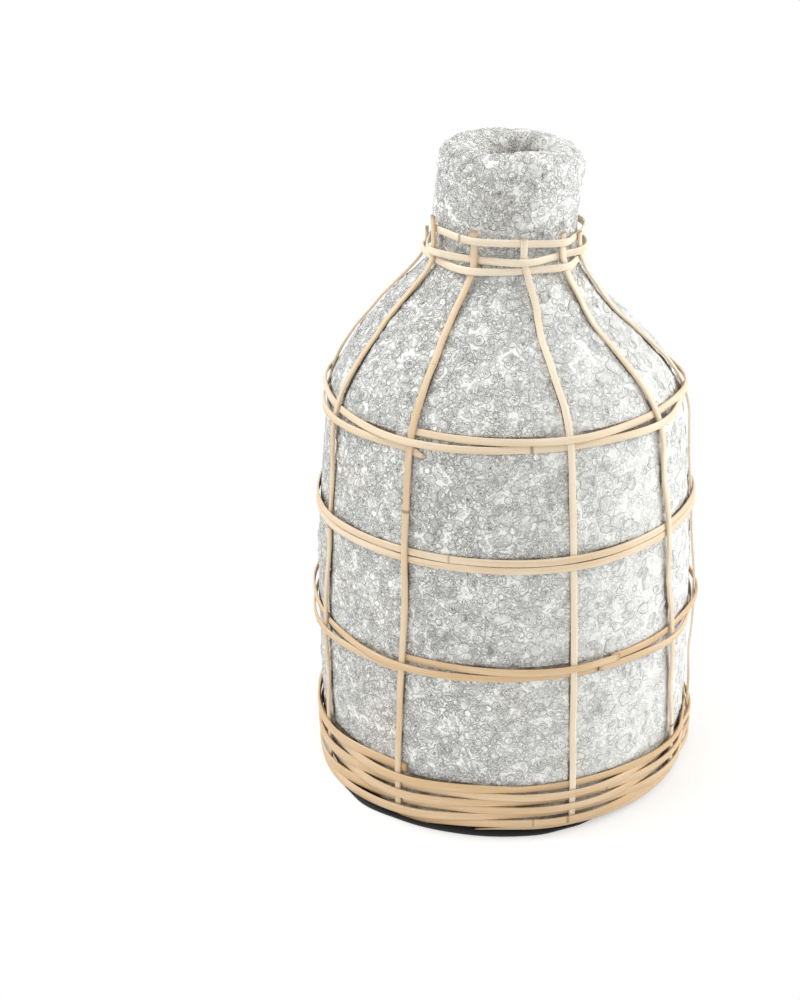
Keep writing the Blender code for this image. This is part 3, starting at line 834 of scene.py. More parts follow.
# The bubbles that stand out at the front: their places in the photograph, in pixels, and then
# width and tallness in metres and how dark each is inside.
FRONT_BUBBLES = (
    (446, 592, 0.0085, 0.0045, 0.5),
    (457, 608, 0.0057, 0.0045, 0.3),
    (421, 611, 0.0045, 0.0050, 0.3),
    (440, 613, 0.0038, 0.0040, 0.3),
    (465, 632, 0.0100, 0.0075, 0.0),
    (446, 638, 0.0048, 0.0055, 0.7),
    (432, 635, 0.0030, 0.0030, 0.3),
    (435, 647, 0.0033, 0.0060, 0.9),
    (423, 644, 0.0020, 0.0020, 1.0),
    (464, 653, 0.0070, 0.0065, 0.0),
    (441, 525, 0.0038, 0.0038, 0.3),
    (435, 534, 0.0025, 0.0035, 0.8),
    (474, 584, 0.0020, 0.0025, 1.0),
    (466, 619, 0.0026, 0.0024, 0.7),
    (550, 507, 0.0026, 0.0036, 1.0),
    (449, 152, 0.0014, 0.0016, 1.0),
    (462, 167, 0.0015, 0.0015, 1.0),
    (471, 149, 0.0022, 0.0020, 1.0),
    (500, 190, 0.0020, 0.0018, 1.0),
)
# How far from a bubble's rim its distance is still told, in metres, and as a share of the
# bubble's radius towards its middle.
BUBBLE_REACH = 0.0012
INNER_REACH = 0.85
# The bubbles placed by chance: the share of smooth islands, the least radius and how much larger
# an island or a hollow may be, in metres. The large ones are rare, by this power.
ISLAND_SHARE = 0.6
LEAST_RADIUS = 0.0011
ISLAND_GROWTH, HOLLOW_GROWTH = 0.0026, 0.0014
RARITY = 3.5
# A bubble of average radius has the set depth times a number from the least up. Larger ones are
# deeper, up to a limit.
LEAST_DEPTH, DEPTH_SPAN = 0.4, 1.2
AVERAGE_RADIUS, DEEPEST = 0.0014, 1.6
# The least darkness of a hollow, and the power that makes dark ones rare.
LEAST_DARKNESS, DARK_RARITY = 0.12, 1.7
# How much wider than tall a bubble is: the least, and how much more.
LEAST_STRETCH, STRETCH_SPAN = 0.8, 0.45
# How much deeper than the set depth the front's hollows are, and how much higher its islands.
FRONT_HOLLOW, FRONT_ISLAND = 2.4, 1.2
# Each bubble's outline strays from a circle in waves: how many go round, and how strong they are.
OUTLINE_WAVES = ((2, 0.14), (3, 0.11), (5, 0.06))
# A bubble clears earlier relief from this far outside its rim, over this length.
CLEAR_FROM, CLEAR_OVER, CLEARED = 0.0009, 0.0006, 0.85
# The raised rim: its half width, and its height and an island's as a share of the depth. An
# island's slope starts this far outside its edge, and is this long.
RIM_WIDTH = 0.00045
RIM_SHARE = 0.7
ISLAND_EDGE, ISLAND_SLOPE = 0.0003, 0.0009
# A hollow reaches its depth at this share of the radius in from its edge.
HOLLOW_SLOPE = 0.5
# How far outside its edge a bubble's own darkness and chance hold.
BUBBLE_EDGE = 0.0005


def camera_axes():
    """Where the camera looks, its right and its up."""
    yaw, pitch, roll = (math.radians(v) for v in (CAMERA_YAW, CAMERA_PITCH, CAMERA_ROLL))
    flat = math.cos(pitch)
    forward = Vector((math.sin(yaw) * flat, math.cos(yaw) * flat, -math.sin(pitch)))
    level = Vector((math.cos(yaw), -math.sin(yaw), 0.0))
    upward = level.cross(forward)
    right = level * math.cos(roll) + upward * math.sin(roll)
    return forward, right, upward * math.cos(roll) - level * math.sin(roll)


def seen_at(across, down):
    """Bearing in radians, and height, of the clay at a place of the photograph in pixels.

    The sight line is met with an upright cylinder as wide as the clay where it was met before.
    """
    forward, right, up = camera_axes()
    sight = forward * FOCAL_PIXELS
    sight = sight + right * (across - FRAME_WIDTH / 2) - up * (down - FRAME_HEIGHT / 2)
    radius, middle = BELLY_RADIUS, 0.0
    for _ in range(12):
        start_x, start_y = CAMERA_PLACE[0] - middle, CAMERA_PLACE[1]
        square = sight.x**2 + sight.y**2
        half = start_x * sight.x + start_y * sight.y
        rest = start_x**2 + start_y**2 - radius**2
        reach = (-half - math.sqrt(half**2 - square * rest)) / square
        met = Vector((start_x, start_y, CAMERA_PLACE[2])) + sight * reach
        radius, middle = outer_radius(met.z), float(lean(met.z))
    return math.atan2(met.x, -met.y), met.z


def bubble_list(settings, radii, heights, last_row):
    """Row, bearing in radians, radius, stretch, depth and darkness of each bubble.

    A darkness of nothing is a smooth island, which is raised and has no hollow.
    """
    chance = random.Random(71)
    totals = np.cumsum(np.maximum(radii[:last_row], 0.002))
    found = []
    for _ in range(settings.bubbles):
        row = int(np.searchsorted(totals, chance.random() * totals[-1]))
        turn = chance.random() * math.tau
        closed = chance.random() < ISLAND_SHARE
        spread = chance.random() ** RARITY
        radius = LEAST_RADIUS + (ISLAND_GROWTH if closed else HOLLOW_GROWTH) * spread
        depth = settings.bubble_depth * (LEAST_DEPTH + DEPTH_SPAN * chance.random())
        depth *= min(radius / AVERAGE_RADIUS, DEEPEST)
        dark = 0.0 if closed else max(LEAST_DARKNESS, chance.random() ** DARK_RARITY)
        stretch = LEAST_STRETCH + STRETCH_SPAN * chance.random()
        found.append((row, turn, radius, stretch, depth, dark))
    crest = int(np.argmax(heights))
    for across, down, width, tall, dark in FRONT_BUBBLES:
        turn, height = seen_at(across, down)
        row = int(np.searchsorted(heights[:crest], height))
        radius = math.sqrt(width * tall) / 2
        depth = settings.bubble_depth * (FRONT_HOLLOW if dark else FRONT_ISLAND)
        found.append((row, turn, radius, math.sqrt(width / tall), depth, dark))
    return found


def carve_bubbles(settings, along, radii, heights, last_row):
    """Relief of the bubbles, and distance from the nearest rim, darkness and chance of each.

    The distance is a share of BUBBLE_REACH. Inside a bubble it is negative, and a share of that
    or of the part of the radius that it is told for, whichever is less. A later bubble covers an
    earlier one.
    """
    relief, rim_distance, darkness, lot = np.zeros((4, len(along), COLUMNS))
    rim_distance += 1.0
    chance = random.Random(17)
    step = math.tau / COLUMNS
    for index, bubble in enumerate(bubble_list(settings, radii, heights, last_row)):
        row, turn, radius, stretch, depth, dark = bubble
        at_front = index >= settings.bubbles
        phases = [chance.random() * math.tau for _ in OUTLINE_WAVES]
        strength = 1.0 if at_front else chance.random()
        reach = radius * 1.4 * max(stretch, 1 / stretch) + BUBBLE_REACH
        first, last = np.searchsorted(along[:last_row], (along[row] - reach, along[row] + reach))
        rows_near = np.arange(first, last)
        half = int(reach / (max(radii[row], 0.01) * step)) + 1
        column = int(turn / step)
        columns = np.arange(column - half, column + half + 1)
        across = (columns * step - turn)[None, :] * np.maximum(radii[rows_near], 0.005)[:, None]
        up = (along[rows_near] - along[row])[:, None] * np.ones_like(across)
        angle = np.arctan2(up, across)
        wave = 1
        for (count, strong), phase in zip(OUTLINE_WAVES, phases):
            wave = wave + strong * np.sin(count * angle + phase)
        outside = np.hypot(across / stretch, up * stretch) - radius * wave
        near = np.ix_(rows_near, columns % COLUMNS)
        cleared = smooth((CLEAR_FROM - outside) / CLEAR_OVER)
        rim = np.exp(-((outside / RIM_WIDTH) ** 2))
        if dark:
            hollow = smooth(-outside / (HOLLOW_SLOPE * radius))
            shape = RIM_SHARE * depth * rim - depth * hollow
        else:
            shape = RIM_SHARE * depth * smooth((ISLAND_EDGE - outside) / ISLAND_SLOPE)
        relief[near] = relief[near] * (1 - CLEARED * cleared) + shape
        within = min(BUBBLE_REACH, INNER_REACH * radius)
        told = np.clip(outside / np.where(outside < 0, within, BUBBLE_REACH), -1.0, 1.0)
        covers = outside < BUBBLE_EDGE
        rim_distance[near] = np.where(covers, told, np.minimum(rim_distance[near], told))
        darkness[near] = np.where(covers, dark, darkness[near])
        lot[near] = np.where(covers, strength, lot[near])
    return relief, rim_distance, darkness, lot


def woven_rows():
    """Height along, start and stop of the strips of the three bands."""
    rows = []
    for band in (LOWER_BAND_HEIGHT, UPPER_BAND_HEIGHT):
        start = stave_bearing("left", band)
        rows.append((spiral_height(band), start, start + 360 * BAND_TURNS))
    for side in (-0.5, 0.5):
        level = WAIST_BAND_HEIGHT + side * BAND_ROW_PITCH
        rows.append((lambda bearing, level=level: level, 0.0, 360.0))
    return rows


def cane_distance(path):
    """How far each point of the clay's outer side lies from the nearest cane, in metres.

    It is negative under the cane, and everywhere below the foot weaving's last turn.
    """
    outer = int(np.argmax(path[:, 1]))
    radii, heights = path[:outer].T
    stretch = np.hypot(1.0, np.gradient(np.abs(radii - radii[0]), heights))
    bearings = np.arange(COLUMNS) * 360 / COLUMNS
    found = np.ones((len(path), COLUMNS))
    sizes = bpy.context.scene.vase_cane
    half_stave, half_strip = sizes.stave_width / 2, sizes.weaver_width / 2
    last_base = STAVES["left"][0] + 360 * BASE_TURNS + BASE_END
    for row, height in enumerate(heights):
        for stave in STAVES:
            if STAVE_FOOT < height < THROAT_HEIGHT - COLLAR_RISE:
                away = np.radians((bearings - stave_bearing(stave, height) + 180) % 360 - 180)
                away = np.abs(away) * radii[row] - half_stave
                found[row] = np.minimum(found[row], away)
    for column, bearing in enumerate(bearings):
        nearest = found[:outer, column]
        for height_at, start, stop in woven_rows():
            reached = bearing + 360 * math.ceil((start - bearing) / 360)
            while reached <= stop:
                away = np.abs(heights - height_at(reached)) * stretch - half_strip
                np.minimum(nearest, away, out=nearest)
                reached += 360
        laid = [bearing - 360 + 360 * turn for turn in range(BASE_TURNS + 1)]
        top = max(base_row_height(reached) for reached in laid if reached < last_base)
        np.minimum(nearest, heights - top - half_strip, out=nearest)
    return found


def inner_share(path):
    """How much of the mouth's pinch each ring of the clay takes: all of it down to the throat."""
    return smooth((path[:, 1] - THROAT_HEIGHT + 0.004) / 0.012)[:, None]


def undulation(points):
    """Slow and quick hand-made relief at each point, both about -1 to 1."""
    places = [Vector(point) for point in points]
    slow = [noise.noise(place * SLOW_SCALE) for place in places]
    quick = [noise.fractal(place * QUICK_SCALE, 0.7, 2.1, 3) for place in places]
    return np.array(slow), np.array(quick)


def build_clay(settings):
    """The clay's mesh: one closed grid, displaced along its normals."""
    path, share = clay_path()
    normals = path_normals(path)
    radii, heights = path.T
    along = distances(path)
    carved_rows = int(np.nonzero(share > 0)[0].max()) + 1
    relief, *marks = carve_bubbles(settings, along, radii, heights, carved_rows)
    turns = np.arange(COLUMNS) * math.tau / COLUMNS
    ring = np.sin(turns), -np.cos(turns)
    x, y = (radii[:, None] * part for part in ring)
    z = np.repeat(heights[:, None], COLUMNS, axis=1)
    slow, quick = np.zeros((2, *x.shape))
    carved = np.stack([x, y, z], axis=-1)[:carved_rows]
    for whole, found in zip((slow, quick), undulation(carved.reshape(-1, 3))):
        whole[:carved_rows] = found.reshape(carved_rows, COLUMNS)
    rim_share = smooth((heights - LIP_HEIGHT + 0.004) / 0.008)[:, None]
    shaped = slow * (0.8 + 1.2 * rim_share) + (0.35 + 0.5 * rim_share) * quick
    lift = (relief + settings.undulation * shaped) * share[:, None]
    x += normals[:, :1] * lift * ring[0]
    y += normals[:, :1] * lift * ring[1]
    z += normals[:, 1:] * lift
    slump = LIP_DROP + LIP_SLUMP * smooth((x - 0.004) / 0.024)
    z -= smooth((z - THROAT_HEIGHT) / NECK_RISE) * slump
    crest = int(np.argmax(heights))
    past_crest = (along - along[crest])[:, None]
    pinch = MOUTH_PINCH * smooth(past_crest / MOUTH_SLOPE) * inner_share(path)
    x = np.where(past_crest > 0, BORE_RADIUS - (BORE_RADIUS - x) * (1 - pinch), x)
    x += lean(z)
    vertices = np.stack([x, y, z], axis=-1).reshape(-1, 3)
    low = len(vertices)
    last = low - COLUMNS
    vertices = np.vstack([vertices, [(0, 0, FOOT_HEIGHT), (0, 0, heights[-1])]])
    faces = ring_faces(len(path), COLUMNS)
    faces += [(low, b, a) for a, b in neighbours(COLUMNS)]
    faces += [(low + 1, last + a, last + b) for a, b in neighbours(COLUMNS)]
    # The painted shade and the tint follow these values: near and under the cane, and deepening inside
    # the mouth past the crest of the lip.
    under = np.ones(len(vertices))
    shade_distance = np.clip(cane_distance(path) / PAINTED_SHADE_REACH, -1.0, 1.0)
    shade_distance[crest + 1:] = 1.0 - MOUTH_DARK * smooth(past_crest[crest + 1:] / MOUTH_DARK_REACH)
    under[:low] = shade_distance.ravel()
    bubble = np.zeros((len(vertices), 3))
    bubble[:, 0] = 1.0
    for axis, values in enumerate(marks):
        bubble[:low, axis] = values.ravel()
    return vertices, faces, {"bubble": bubble, "under": under}


# The pad under the foot. Its black lip that sticks out from under the cane at the front left is painted
# shade: a dark sheet that stands in for the contact shadow there.

PAD_LIP = 0.0011
# How much narrower its lower edge is.
PAD_BEVEL = 0.0003
PAD_COLUMNS = 180
# Painted shade: how far the pad's black lip sticks out at these bearings, standing in for the contact
# shadow.
PAD_BEARINGS = (-66.0, -54.0, -43.0, -30.0, -10.0, 10.0, 22.0, 32.0)
PAD_REACHES = (0.0, 0.0055, 0.0072, 0.0058, 0.0050, 0.0046, 0.0025, 0.0)


def build_pad():
    """A thin disc with a raised middle under the clay's foot."""
    vertices = []
    inner = FOOT_RADIUS - 2 * FOOT_ROUND
    rings = ((0, 0.0), (1, 0.0), (1, PAD_LIP), (0, PAD_LIP), (0, PAD_THICKNESS))
    for radius_share, height in rings:
        for column in range(PAD_COLUMNS):
            bearing = 360 * column / PAD_COLUMNS
            signed = (bearing + 180) % 360 - 180
            reach = PAD_RADIUS - inner + eased(signed, PAD_BEARINGS, PAD_REACHES)
            radius = inner + radius_share * reach
            if height == 0.0 and radius_share:
                radius -= PAD_BEVEL
            turn = math.radians(bearing)
            vertices.append((radius * math.sin(turn), -radius * math.cos(turn), height))
    return vertices, tube_faces(len(rings), PAD_COLUMNS)


# The cane.

# A strip's section, as shares of half its width and of its thickness: a flat back, edges that
# are just rounded and a crowned face.
SECTION = (
    (-0.95, 0.0), (-1.0, 0.10), (-1.0, 0.62), (-0.94, 0.80), (-0.6, 0.95), (0.0, 1.0),
    (0.6, 0.95), (0.94, 0.80), (1.0, 0.62), (1.0, 0.10), (0.95, 0.0), (0.0, 0.0),
)
# A joint's reach along the cane, and how much wider and thicker the cane is there.
JOINT_REACH, JOINT_WIDER, JOINT_THICKER = 0.0011, 0.12, 0.22
# How far from a cut end its brown edge reaches.
CUT_REACH = 0.0006
# Spacing of a stave's points, and the least length of its last step.
STAVE_STEP, STAVE_LAST_STEP = 0.0022, 0.0008
# Greatest step round a strip, in degrees.
STRIP_STEP = 1.7


class Wobble:
    """A smooth seeded wander along a strip, about -1 to 1."""

    def __init__(self, seed, length):
        chance = random.Random(seed)
        self.waves = [
            (math.tau / (length * (0.4 + chance.random())), chance.random() * math.tau)
            for _ in range(3)
        ]

    def __call__(self, along):
        return sum(np.sin(along * pace + phase) for pace, phase in self.waves) / 2.2


def strip_piece(name, places, thickness, seed, material, tone, joints, taper=0.0, end_taper=0.0):
    """One length of split cane along its places.

    Each place is a point on the middle of its back, the direction across it and its width.
    joints holds distances along it, in metres, of its swollen joints. It starts as a point
    that widens over the taper's length, and ends as one that narrows over the end taper's.
    """
    backs, sides, widths = (np.array(part) for part in zip(*places))
    backs[:, 0] += lean(backs[:, 2])
    tangents = np.gradient(backs, axis=0)
    tangents /= np.linalg.norm(tangents, axis=1)[:, None]
    sides -= tangents * np.sum(tangents * sides, axis=1)[:, None]
    sides /= np.linalg.norm(sides, axis=1)[:, None]
    outs = np.cross(sides, tangents)
    flipped = np.sum(outs[:, :2] * backs[:, :2], axis=1) + outs[:, 2] * 0.02 < 0
    outs[flipped] *= -1
    along = distances(backs)
    wander, swell, twist = Wobble(seed, 0.06), Wobble(seed + 1, 0.035), Wobble(seed + 2, 0.05)
    swollen = np.zeros_like(along)
    for joint in joints:
        swollen = np.maximum(swollen, np.exp(-(((along - joint) / JOINT_REACH) ** 2)))
    half = widths / 2 * (1 + 0.02 * swell(along) + JOINT_WIDER * swollen)
    if taper:
        half *= 0.08 + 0.92 * smooth(along / taper)
    if end_taper:
        half *= 0.4 + 0.6 * smooth((along[-1] - along) / end_taper)
    deep = thickness * (1 + 0.05 * wander(along) + JOINT_THICKER * swollen)
    lean_over = 0.05 * twist(along)
    vertices, grain, marks = [], [], []
    chance = random.Random(seed + 3)
    phase = chance.random() * 10
    tone += (chance.random() - 0.5) * 0.12
    for i in range(len(along)):
        cut = math.exp(-min(along[i], along[-1] - along[i]) / CUT_REACH)
        for share, rise in SECTION:
            across = share * half[i]
            up = rise * deep[i] + across * lean_over[i]
            vertices.append(backs[i] + sides[i] * across + outs[i] * up)
            grain.append((along[i] + phase, across + (0.0 if rise > 0.05 else 0.003), phase))
            marks.append((swollen[i], cut, tone))
    faces = tube_faces(len(along), len(SECTION))
    piece = add_piece(name, vertices, faces, material, {"grain": grain, "marks": marks})
    piece.data.set_sharp_from_angle(angle=math.radians(50))
    outward(piece)
    return piece


def outward(piece):
    """Turns the piece's faces so that their normals point out."""
    built = bmesh.new()
    built.from_mesh(piece.data)
    bmesh.ops.recalc_face_normals(built, faces=built.faces)
    built.to_mesh(piece.data)
    built.free()


def stave_places(stave):
    """Points up one upright, and the directions across it."""
    tip = THROAT_HEIGHT + STAVES[stave][-1]
    heights, height = [], STAVE_FOOT
    while height < tip - STAVE_LAST_STEP:
        heights.append(height)
        height += STAVE_STEP / math.hypot(1.0, outer_slope(height))
    heights.append(tip)
    width = bpy.context.scene.vase_cane.stave_width
    places = []
    for height in heights:
        bearing = stave_bearing(stave, height)
        turn = math.radians(bearing)
        side = np.array((math.cos(turn), math.sin(turn), 0.0))
        places.append((on_cage(bearing, height, stave_lift(stave, height)), side, width))
    return places


def met_staves(start, stop, height_at):
    """Bearings, in order, at which a strip between two bearings meets the staves."""
    met = []
    for lap in range(-1, BASE_TURNS + 1):
        for stave in STAVES:
            bearing = STAVES[stave][0] + 360 * lap
            for _ in range(3):
                bearing = stave_bearing(stave, height_at(bearing)) + 360 * lap
            reached = height_at(bearing) + HALF_STRIP > STAVE_FOOT
            if start < bearing < stop and reached:
                met.append(bearing)
    return sorted(met)


def held_between(start, stop, height_at, first_over, stop_lift=0.0):
    """(bearing, lift) at a strip's two ends, and in front of and behind the staves between."""
    lifts = (STRIP_OVER_RAISED, 0.0) if first_over else (0.0, STRIP_OVER_RAISED)
    met = met_staves(start, stop, height_at)
    passed = [(bearing, lifts[index % 2]) for index, bearing in enumerate(met)]
    return [(start, 0.0), *passed, (stop, stop_lift)]


def weaver_places(held, height_at, seed, width_at, wander):
    """Points round one woven strip, the directions across it and its widths."""
    stray = Wobble(seed + 9, 0.09)
    places, bearings = [], []
    for (here, lift), (there, next_lift) in zip(held, held[1:]):
        steps = max(math.ceil((there - here) / STRIP_STEP), 1)
        low, rise = min(lift, next_lift), abs(next_lift - lift)
        last = there == held[-1][0]
        for step in range(steps + last):
            share = step / steps
            towards = share if next_lift > lift else 1 - share
            bearing = here + (there - here) * share
            height = height_at(bearing) + wander * float(stray(bearing * 0.0015))
            raised = low + rise * float(smooth(towards)) ** SPRING
            below = on_cage(bearing, height - 0.0005, raised)
            above = on_cage(bearing, height + 0.0005, raised)
            places.append((on_cage(bearing, height, raised), above - below, width_at(bearing)))
            bearings.append(bearing)
    return places, bearings


def make_weaver(
    name, held, height_at, seed, joints=(), taper=0.0, width_at=None, wander=0.0001, end_taper=0.0,
):
    """One woven strip, which stands for the CAD node of the same name.

    joints holds the bearings of its swollen joints.
    """
    width = bpy.context.scene.vase_cane.weaver_width
    width_at = width_at or (lambda bearing: width)
    places, bearings = weaver_places(held, height_at, seed, width_at, wander)
    joints = np.interp(joints, bearings, distances([place[0] for place in places]))
    piece = strip_piece(
        f"cane_{name}", places, WEAVER_THICKNESS, seed, cane("Woven rattan"), STRIP_TONES[name],
        joints, taper, end_taper,
    )
    stand_for(piece, name)


# Operators.


class VASE_OT_stage(bpy.types.Operator):
    """Camera, floor and soft studio light"""

    bl_idname = "vase.stage"
    bl_label = "Stage"

    def execute(self, context):
        settings = context.scene.vase_stage
        forward, right, up = camera_axes()
        camera = bpy.data.objects.new("Camera", bpy.data.cameras.new("Camera"))
        collection().objects.link(camera)
        turned = Matrix((right, up, -forward)).transposed().to_4x4()
        camera.matrix_world = Matrix.Translation(CAMERA_PLACE) @ turned
        camera.data.sensor_width = SENSOR
        camera.data.lens = FOCAL_PIXELS * SENSOR / FRAME_HEIGHT
        context.scene.camera = camera

        floor_finish, graph, surface = new_material("Paper sweep")
        surface.inputs["Base Color"].default_value = (0.93, 0.93, 0.93, 1.0)
        surface.inputs["Roughness"].default_value = 0.9
        place = graph.node("ShaderNodeTexCoord").outputs["Object"]
        away = graph.node("ShaderNodeVectorMath", {0: place}, operation="LENGTH").outputs["Value"]
        glow = graph.steps(away, GLOW_START, GLOW_STOP, GLOW_LEAST, 1.0)
        share = graph.times(graph.seen_directly(), glow)
        white = graph.node("ShaderNodeEmission", {"Color": (1.0, 1.0, 1.0, 1.0), "Strength": 1.0})
        blended = {0: share, 1: surface.outputs[0], 2: white.outputs[0]}
        blend = graph.node("ShaderNodeMixShader", blended)
        output = floor_finish.node_tree.nodes["Material Output"]
        graph.feed(blend.outputs[0], output.inputs["Surface"])
        side = FLOOR_REACH
        corners = [(-side, -side, 0), (side, -side, 0), (side, side, 0), (-side, side, 0)]
        floor = add_piece("floor", corners, [(0, 1, 2, 3)], floor_finish)
        floor.location.z = -FLOOR_DROP

        world = bpy.data.worlds.new("Studio")
        context.scene.world = world
        world.use_nodes = True
        graph = Graph(world.node_tree)
        ground = world.node_tree.nodes["Background"]
        ground.inputs["Color"].default_value = (1.0, 1.0, 1.0, 1.0)
        direct = graph.seen_directly()
        strength = graph.maths("MULTIPLY_ADD", direct, 1.0 - settings.fill, settings.fill)
        graph.feed(strength, ground.inputs["Strength"])

        for name, (place, size, share) in LAMPS.items():
            lamp = bpy.data.lights.new(name, "AREA")
            lamp.energy = settings.key_light * share
            lamp.size = size
            made = bpy.data.objects.new(name, lamp)
            made.location = place
            aim = Vector(LAMPS_AIM) - Vector(place)
            made.rotation_euler = aim.to_track_quat("-Z", "Y").to_euler()
            collection().objects.link(made)
        context.scene.view_settings.view_transform = "Standard"
        return {"FINISHED"}


class VASE_OT_clay(bpy.types.Operator):
    """The clay bottle with its bubbled coating"""

    bl_idname = "vase.clay"
    bl_label = "Clay"

    def execute(self, context):
        settings = context.scene.vase_clay
        vertices, faces, attributes = build_clay(settings)
        clay = add_piece("clay", vertices, faces, clay_material(settings), attributes)
        stand_for(clay, "vase_body")
        return {"FINISHED"}


class VASE_OT_pad(bpy.types.Operator):
    """The thin pad under the foot"""

    bl_idname = "vase.pad"
    bl_label = "Pad"

    def execute(self, context):
        settings = context.scene.vase_stage
        made, graph, surface = new_material("Pad felt")
        place = graph.node("ShaderNodeTexCoord").outputs["Object"]
        fuzz = graph.speckle(place, 2400.0, 3.0, 0.7)
        worn = tuple(channel * 2.4 for channel in settings.pad)
        roughness = graph.steps(fuzz, 0.2, 0.8, 0.85, 1.0)
        graph.coat(surface, graph.mix(fuzz, settings.pad, worn), roughness, fuzz, 0.5, 0.0002)
        vertices, faces = build_pad()
        pad = add_piece("pad", vertices, faces, made)
        outward(pad)
        pad.data.set_sharp_from_angle(angle=math.radians(40))
        stand_for(pad, "base_pad")
        return {"FINISHED"}


class VASE_OT_staves(bpy.types.Operator):
    """The nine uprights"""

    bl_idname = "vase.staves"
    bl_label = "Staves"

    def execute(self, context):
        for number, stave in enumerate(STAVES, 1):
            places = stave_places(stave)
            backs = np.array([place[0] for place in places])
            joints = np.interp(STAVE_JOINTS.get(stave, ()), backs[:, 2], distances(backs))
            piece = strip_piece(
                f"cane_stave_{number}", places, STAVE_THICKNESS, 100 * number,
                cane("Stave rattan"), STAVE_TONES.get(stave, 0.0), joints,
            )
            stand_for(piece, f"stave_{number}")
        return {"FINISHED"}


class VASE_OT_foot_weaving(bpy.types.Operator):
    """The spiral of six turns round the foot"""

    bl_idname = "vase.foot_weaving"
    bl_label = "Foot Weaving"

    def execute(self, context):
        start = STAVES["left"][0]

        def width_at(bearing):
            return FOOT_STRIP_WIDTH + FOOT_STRIP_SPREAD * base_row_looseness(bearing)

        under = [(start + UNDER_START - 360, 0.0), (start + UNDER_STOP - 360, 0.0)]
        make_weaver("base_weaver_1", under, base_row_height, 1100, (), 0.03, width_at, 0.0)
        stop = start + 360 * BASE_TURNS + BASE_END
        held = held_between(start - END_TUCK, stop, base_row_height, first_over=True)
        make_weaver("base_weaver_2", held, base_row_height, 1200, BASE_JOINTS, 0.0, width_at, 0.00003)
        return {"FINISHED"}


class VASE_OT_bands(bpy.types.Operator):
    """The lower, waist and upper bands"""

    bl_idname = "vase.bands"
    bl_label = "Bands"

    def execute(self, context):
        height_at = spiral_height(LOWER_BAND_HEIGHT)
        start = stave_bearing("left", LOWER_BAND_HEIGHT)
        lap_stop = stave_bearing("right", LOWER_BAND_HEIGHT) + LAP_END
        cut = stave_bearing("right", LOWER_BAND_HEIGHT) + 360 + CUT_END
        gap = math.degrees(SPLICE_GAP / outer_radius(LOWER_BAND_HEIGHT))
        stop = start + 360 * BAND_TURNS + END_TUCK
        first = held_between(start - END_TUCK, lap_stop, height_at, False, STAVE_RAISED)
        second = held_between(lap_stop - LAP, cut, height_at, first_over=False)
        third = held_between(cut + gap, stop, height_at, first_over=True)
        for index, held in enumerate((first, second, third), 1):
            make_weaver(f"lower_weaver_{index}", held, height_at, 1300 + 10 * index)

        for name, side in (("waist_weaver_1", 1), ("waist_weaver_2", -1)):
            height = WAIST_BAND_HEIGHT + side * BAND_ROW_PITCH / 2
            closing = stave_bearing("back", height)
            held = [(closing - 360 - WAIST_END, 0.0), (closing - 360, 0.0)]
            for stave in STAVES:
                if stave != "back":
                    bearing = closing - 360 + (stave_bearing(stave, height) - closing) % 360
                    held.append((bearing, STRIP_OVER_SEATED if stave in WAIST_OVER else 0.0))
            held += [(closing, STRIP_OVER_RAISED), (closing + WAIST_END, STRIP_OVER_RAISED)]
            held.sort()
            joints = WAIST_JOINTS if side > 0 else ()
            make_weaver(name, held, lambda bearing, level=height: level, 1400 + 10 * side, joints)

        height_at = spiral_height(UPPER_BAND_HEIGHT)
        start = stave_bearing("left", UPPER_BAND_HEIGHT)
        stop = start + 360 * BAND_TURNS + UPPER_END

        def sagging(bearing):
            loose = float(smooth((bearing - stop + UPPER_END_REACH) / UPPER_END_REACH))
            return height_at(bearing) - UPPER_END_SAG * loose

        held = held_between(start - END_TUCK, stop, height_at, first_over=False)
        make_weaver("upper_weaver", held, sagging, 1500, UPPER_JOINTS, end_taper=0.004)
        return {"FINISHED"}


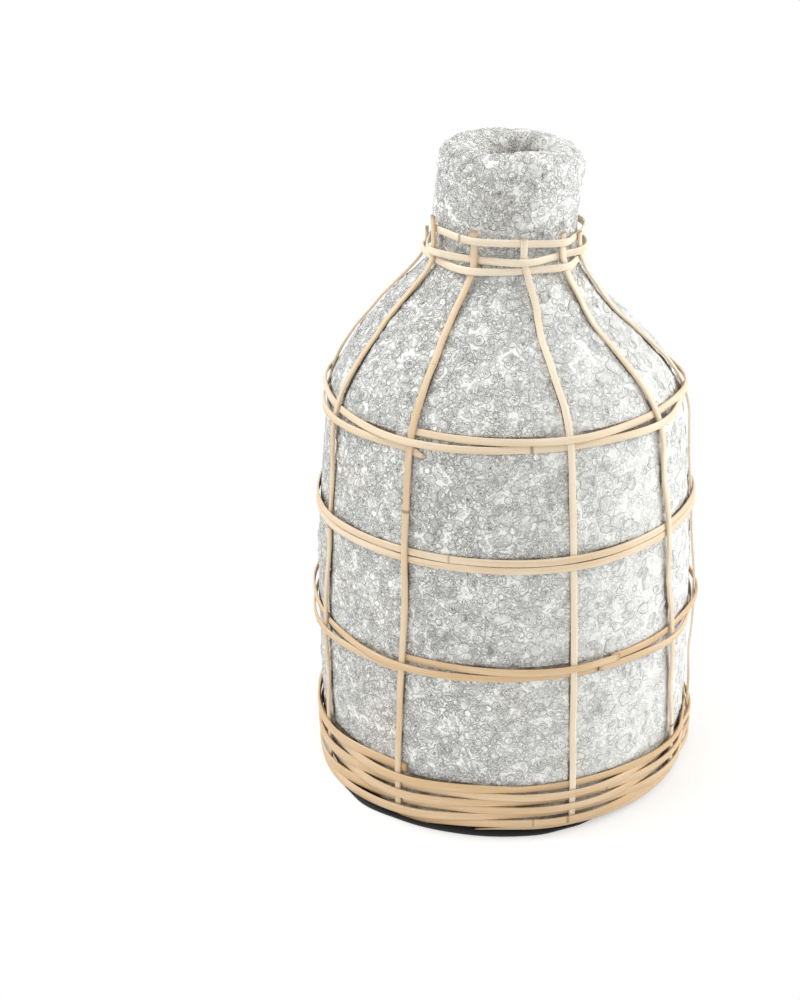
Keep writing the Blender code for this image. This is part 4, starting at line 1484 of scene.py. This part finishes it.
class VASE_OT_neck_binding(bpy.types.Operator):
    """The three turns that gather the staves at the neck"""

    bl_idname = "vase.neck_binding"
    bl_label = "Neck Binding"

    def execute(self, context):
        start, stop = NECK_TURN_BEARINGS[0], NECK_TURN_BEARINGS[-1]
        held = held_between(start, stop, neck_row_height, first_over=False)
        make_weaver("neck_weaver", held, neck_row_height, 1600, NECK_JOINTS)
        return {"FINISHED"}


class VASE_PT_panel(bpy.types.Panel):
    """The vase's sizes, colours and pieces"""

    bl_idname = "VASE_PT_panel"
    bl_label = "Rattan Wrapped Vase"
    bl_space_type = "VIEW_3D"
    bl_region_type = "UI"
    bl_category = "Vase"

    def draw(self, context):
        layout = self.layout
        for settings in (context.scene.vase_clay, context.scene.vase_cane, context.scene.vase_stage):
            box = layout.box()
            for key in settings.__annotations__:
                box.prop(settings, key)
        for operator in OPERATORS:
            layout.operator(operator.bl_idname)


SETTINGS = {
    "vase_clay": VaseClaySettings,
    "vase_cane": VaseCaneSettings,
    "vase_stage": VaseStageSettings,
}
OPERATORS = (
    VASE_OT_stage,
    VASE_OT_clay,
    VASE_OT_pad,
    VASE_OT_staves,
    VASE_OT_foot_weaving,
    VASE_OT_bands,
    VASE_OT_neck_binding,
)


def register():
    for name, group in SETTINGS.items():
        bpy.utils.register_class(group)
        setattr(bpy.types.Scene, name, bpy.props.PointerProperty(type=group))
    for operator in OPERATORS:
        bpy.utils.register_class(operator)
    bpy.utils.register_class(VASE_PT_panel)


def unregister():
    bpy.utils.unregister_class(VASE_PT_panel)
    for operator in reversed(OPERATORS):
        bpy.utils.unregister_class(operator)
    for name, group in SETTINGS.items():
        delattr(bpy.types.Scene, name)
        bpy.utils.unregister_class(group)


def main():
    register()
    bpy.ops.vase.stage()
    bpy.ops.vase.clay()
    bpy.ops.vase.pad()
    bpy.ops.vase.staves()
    bpy.ops.vase.foot_weaving()
    bpy.ops.vase.bands()
    bpy.ops.vase.neck_binding()
    bpy.context.view_layer.update()


if __name__ == "__main__":
    main()
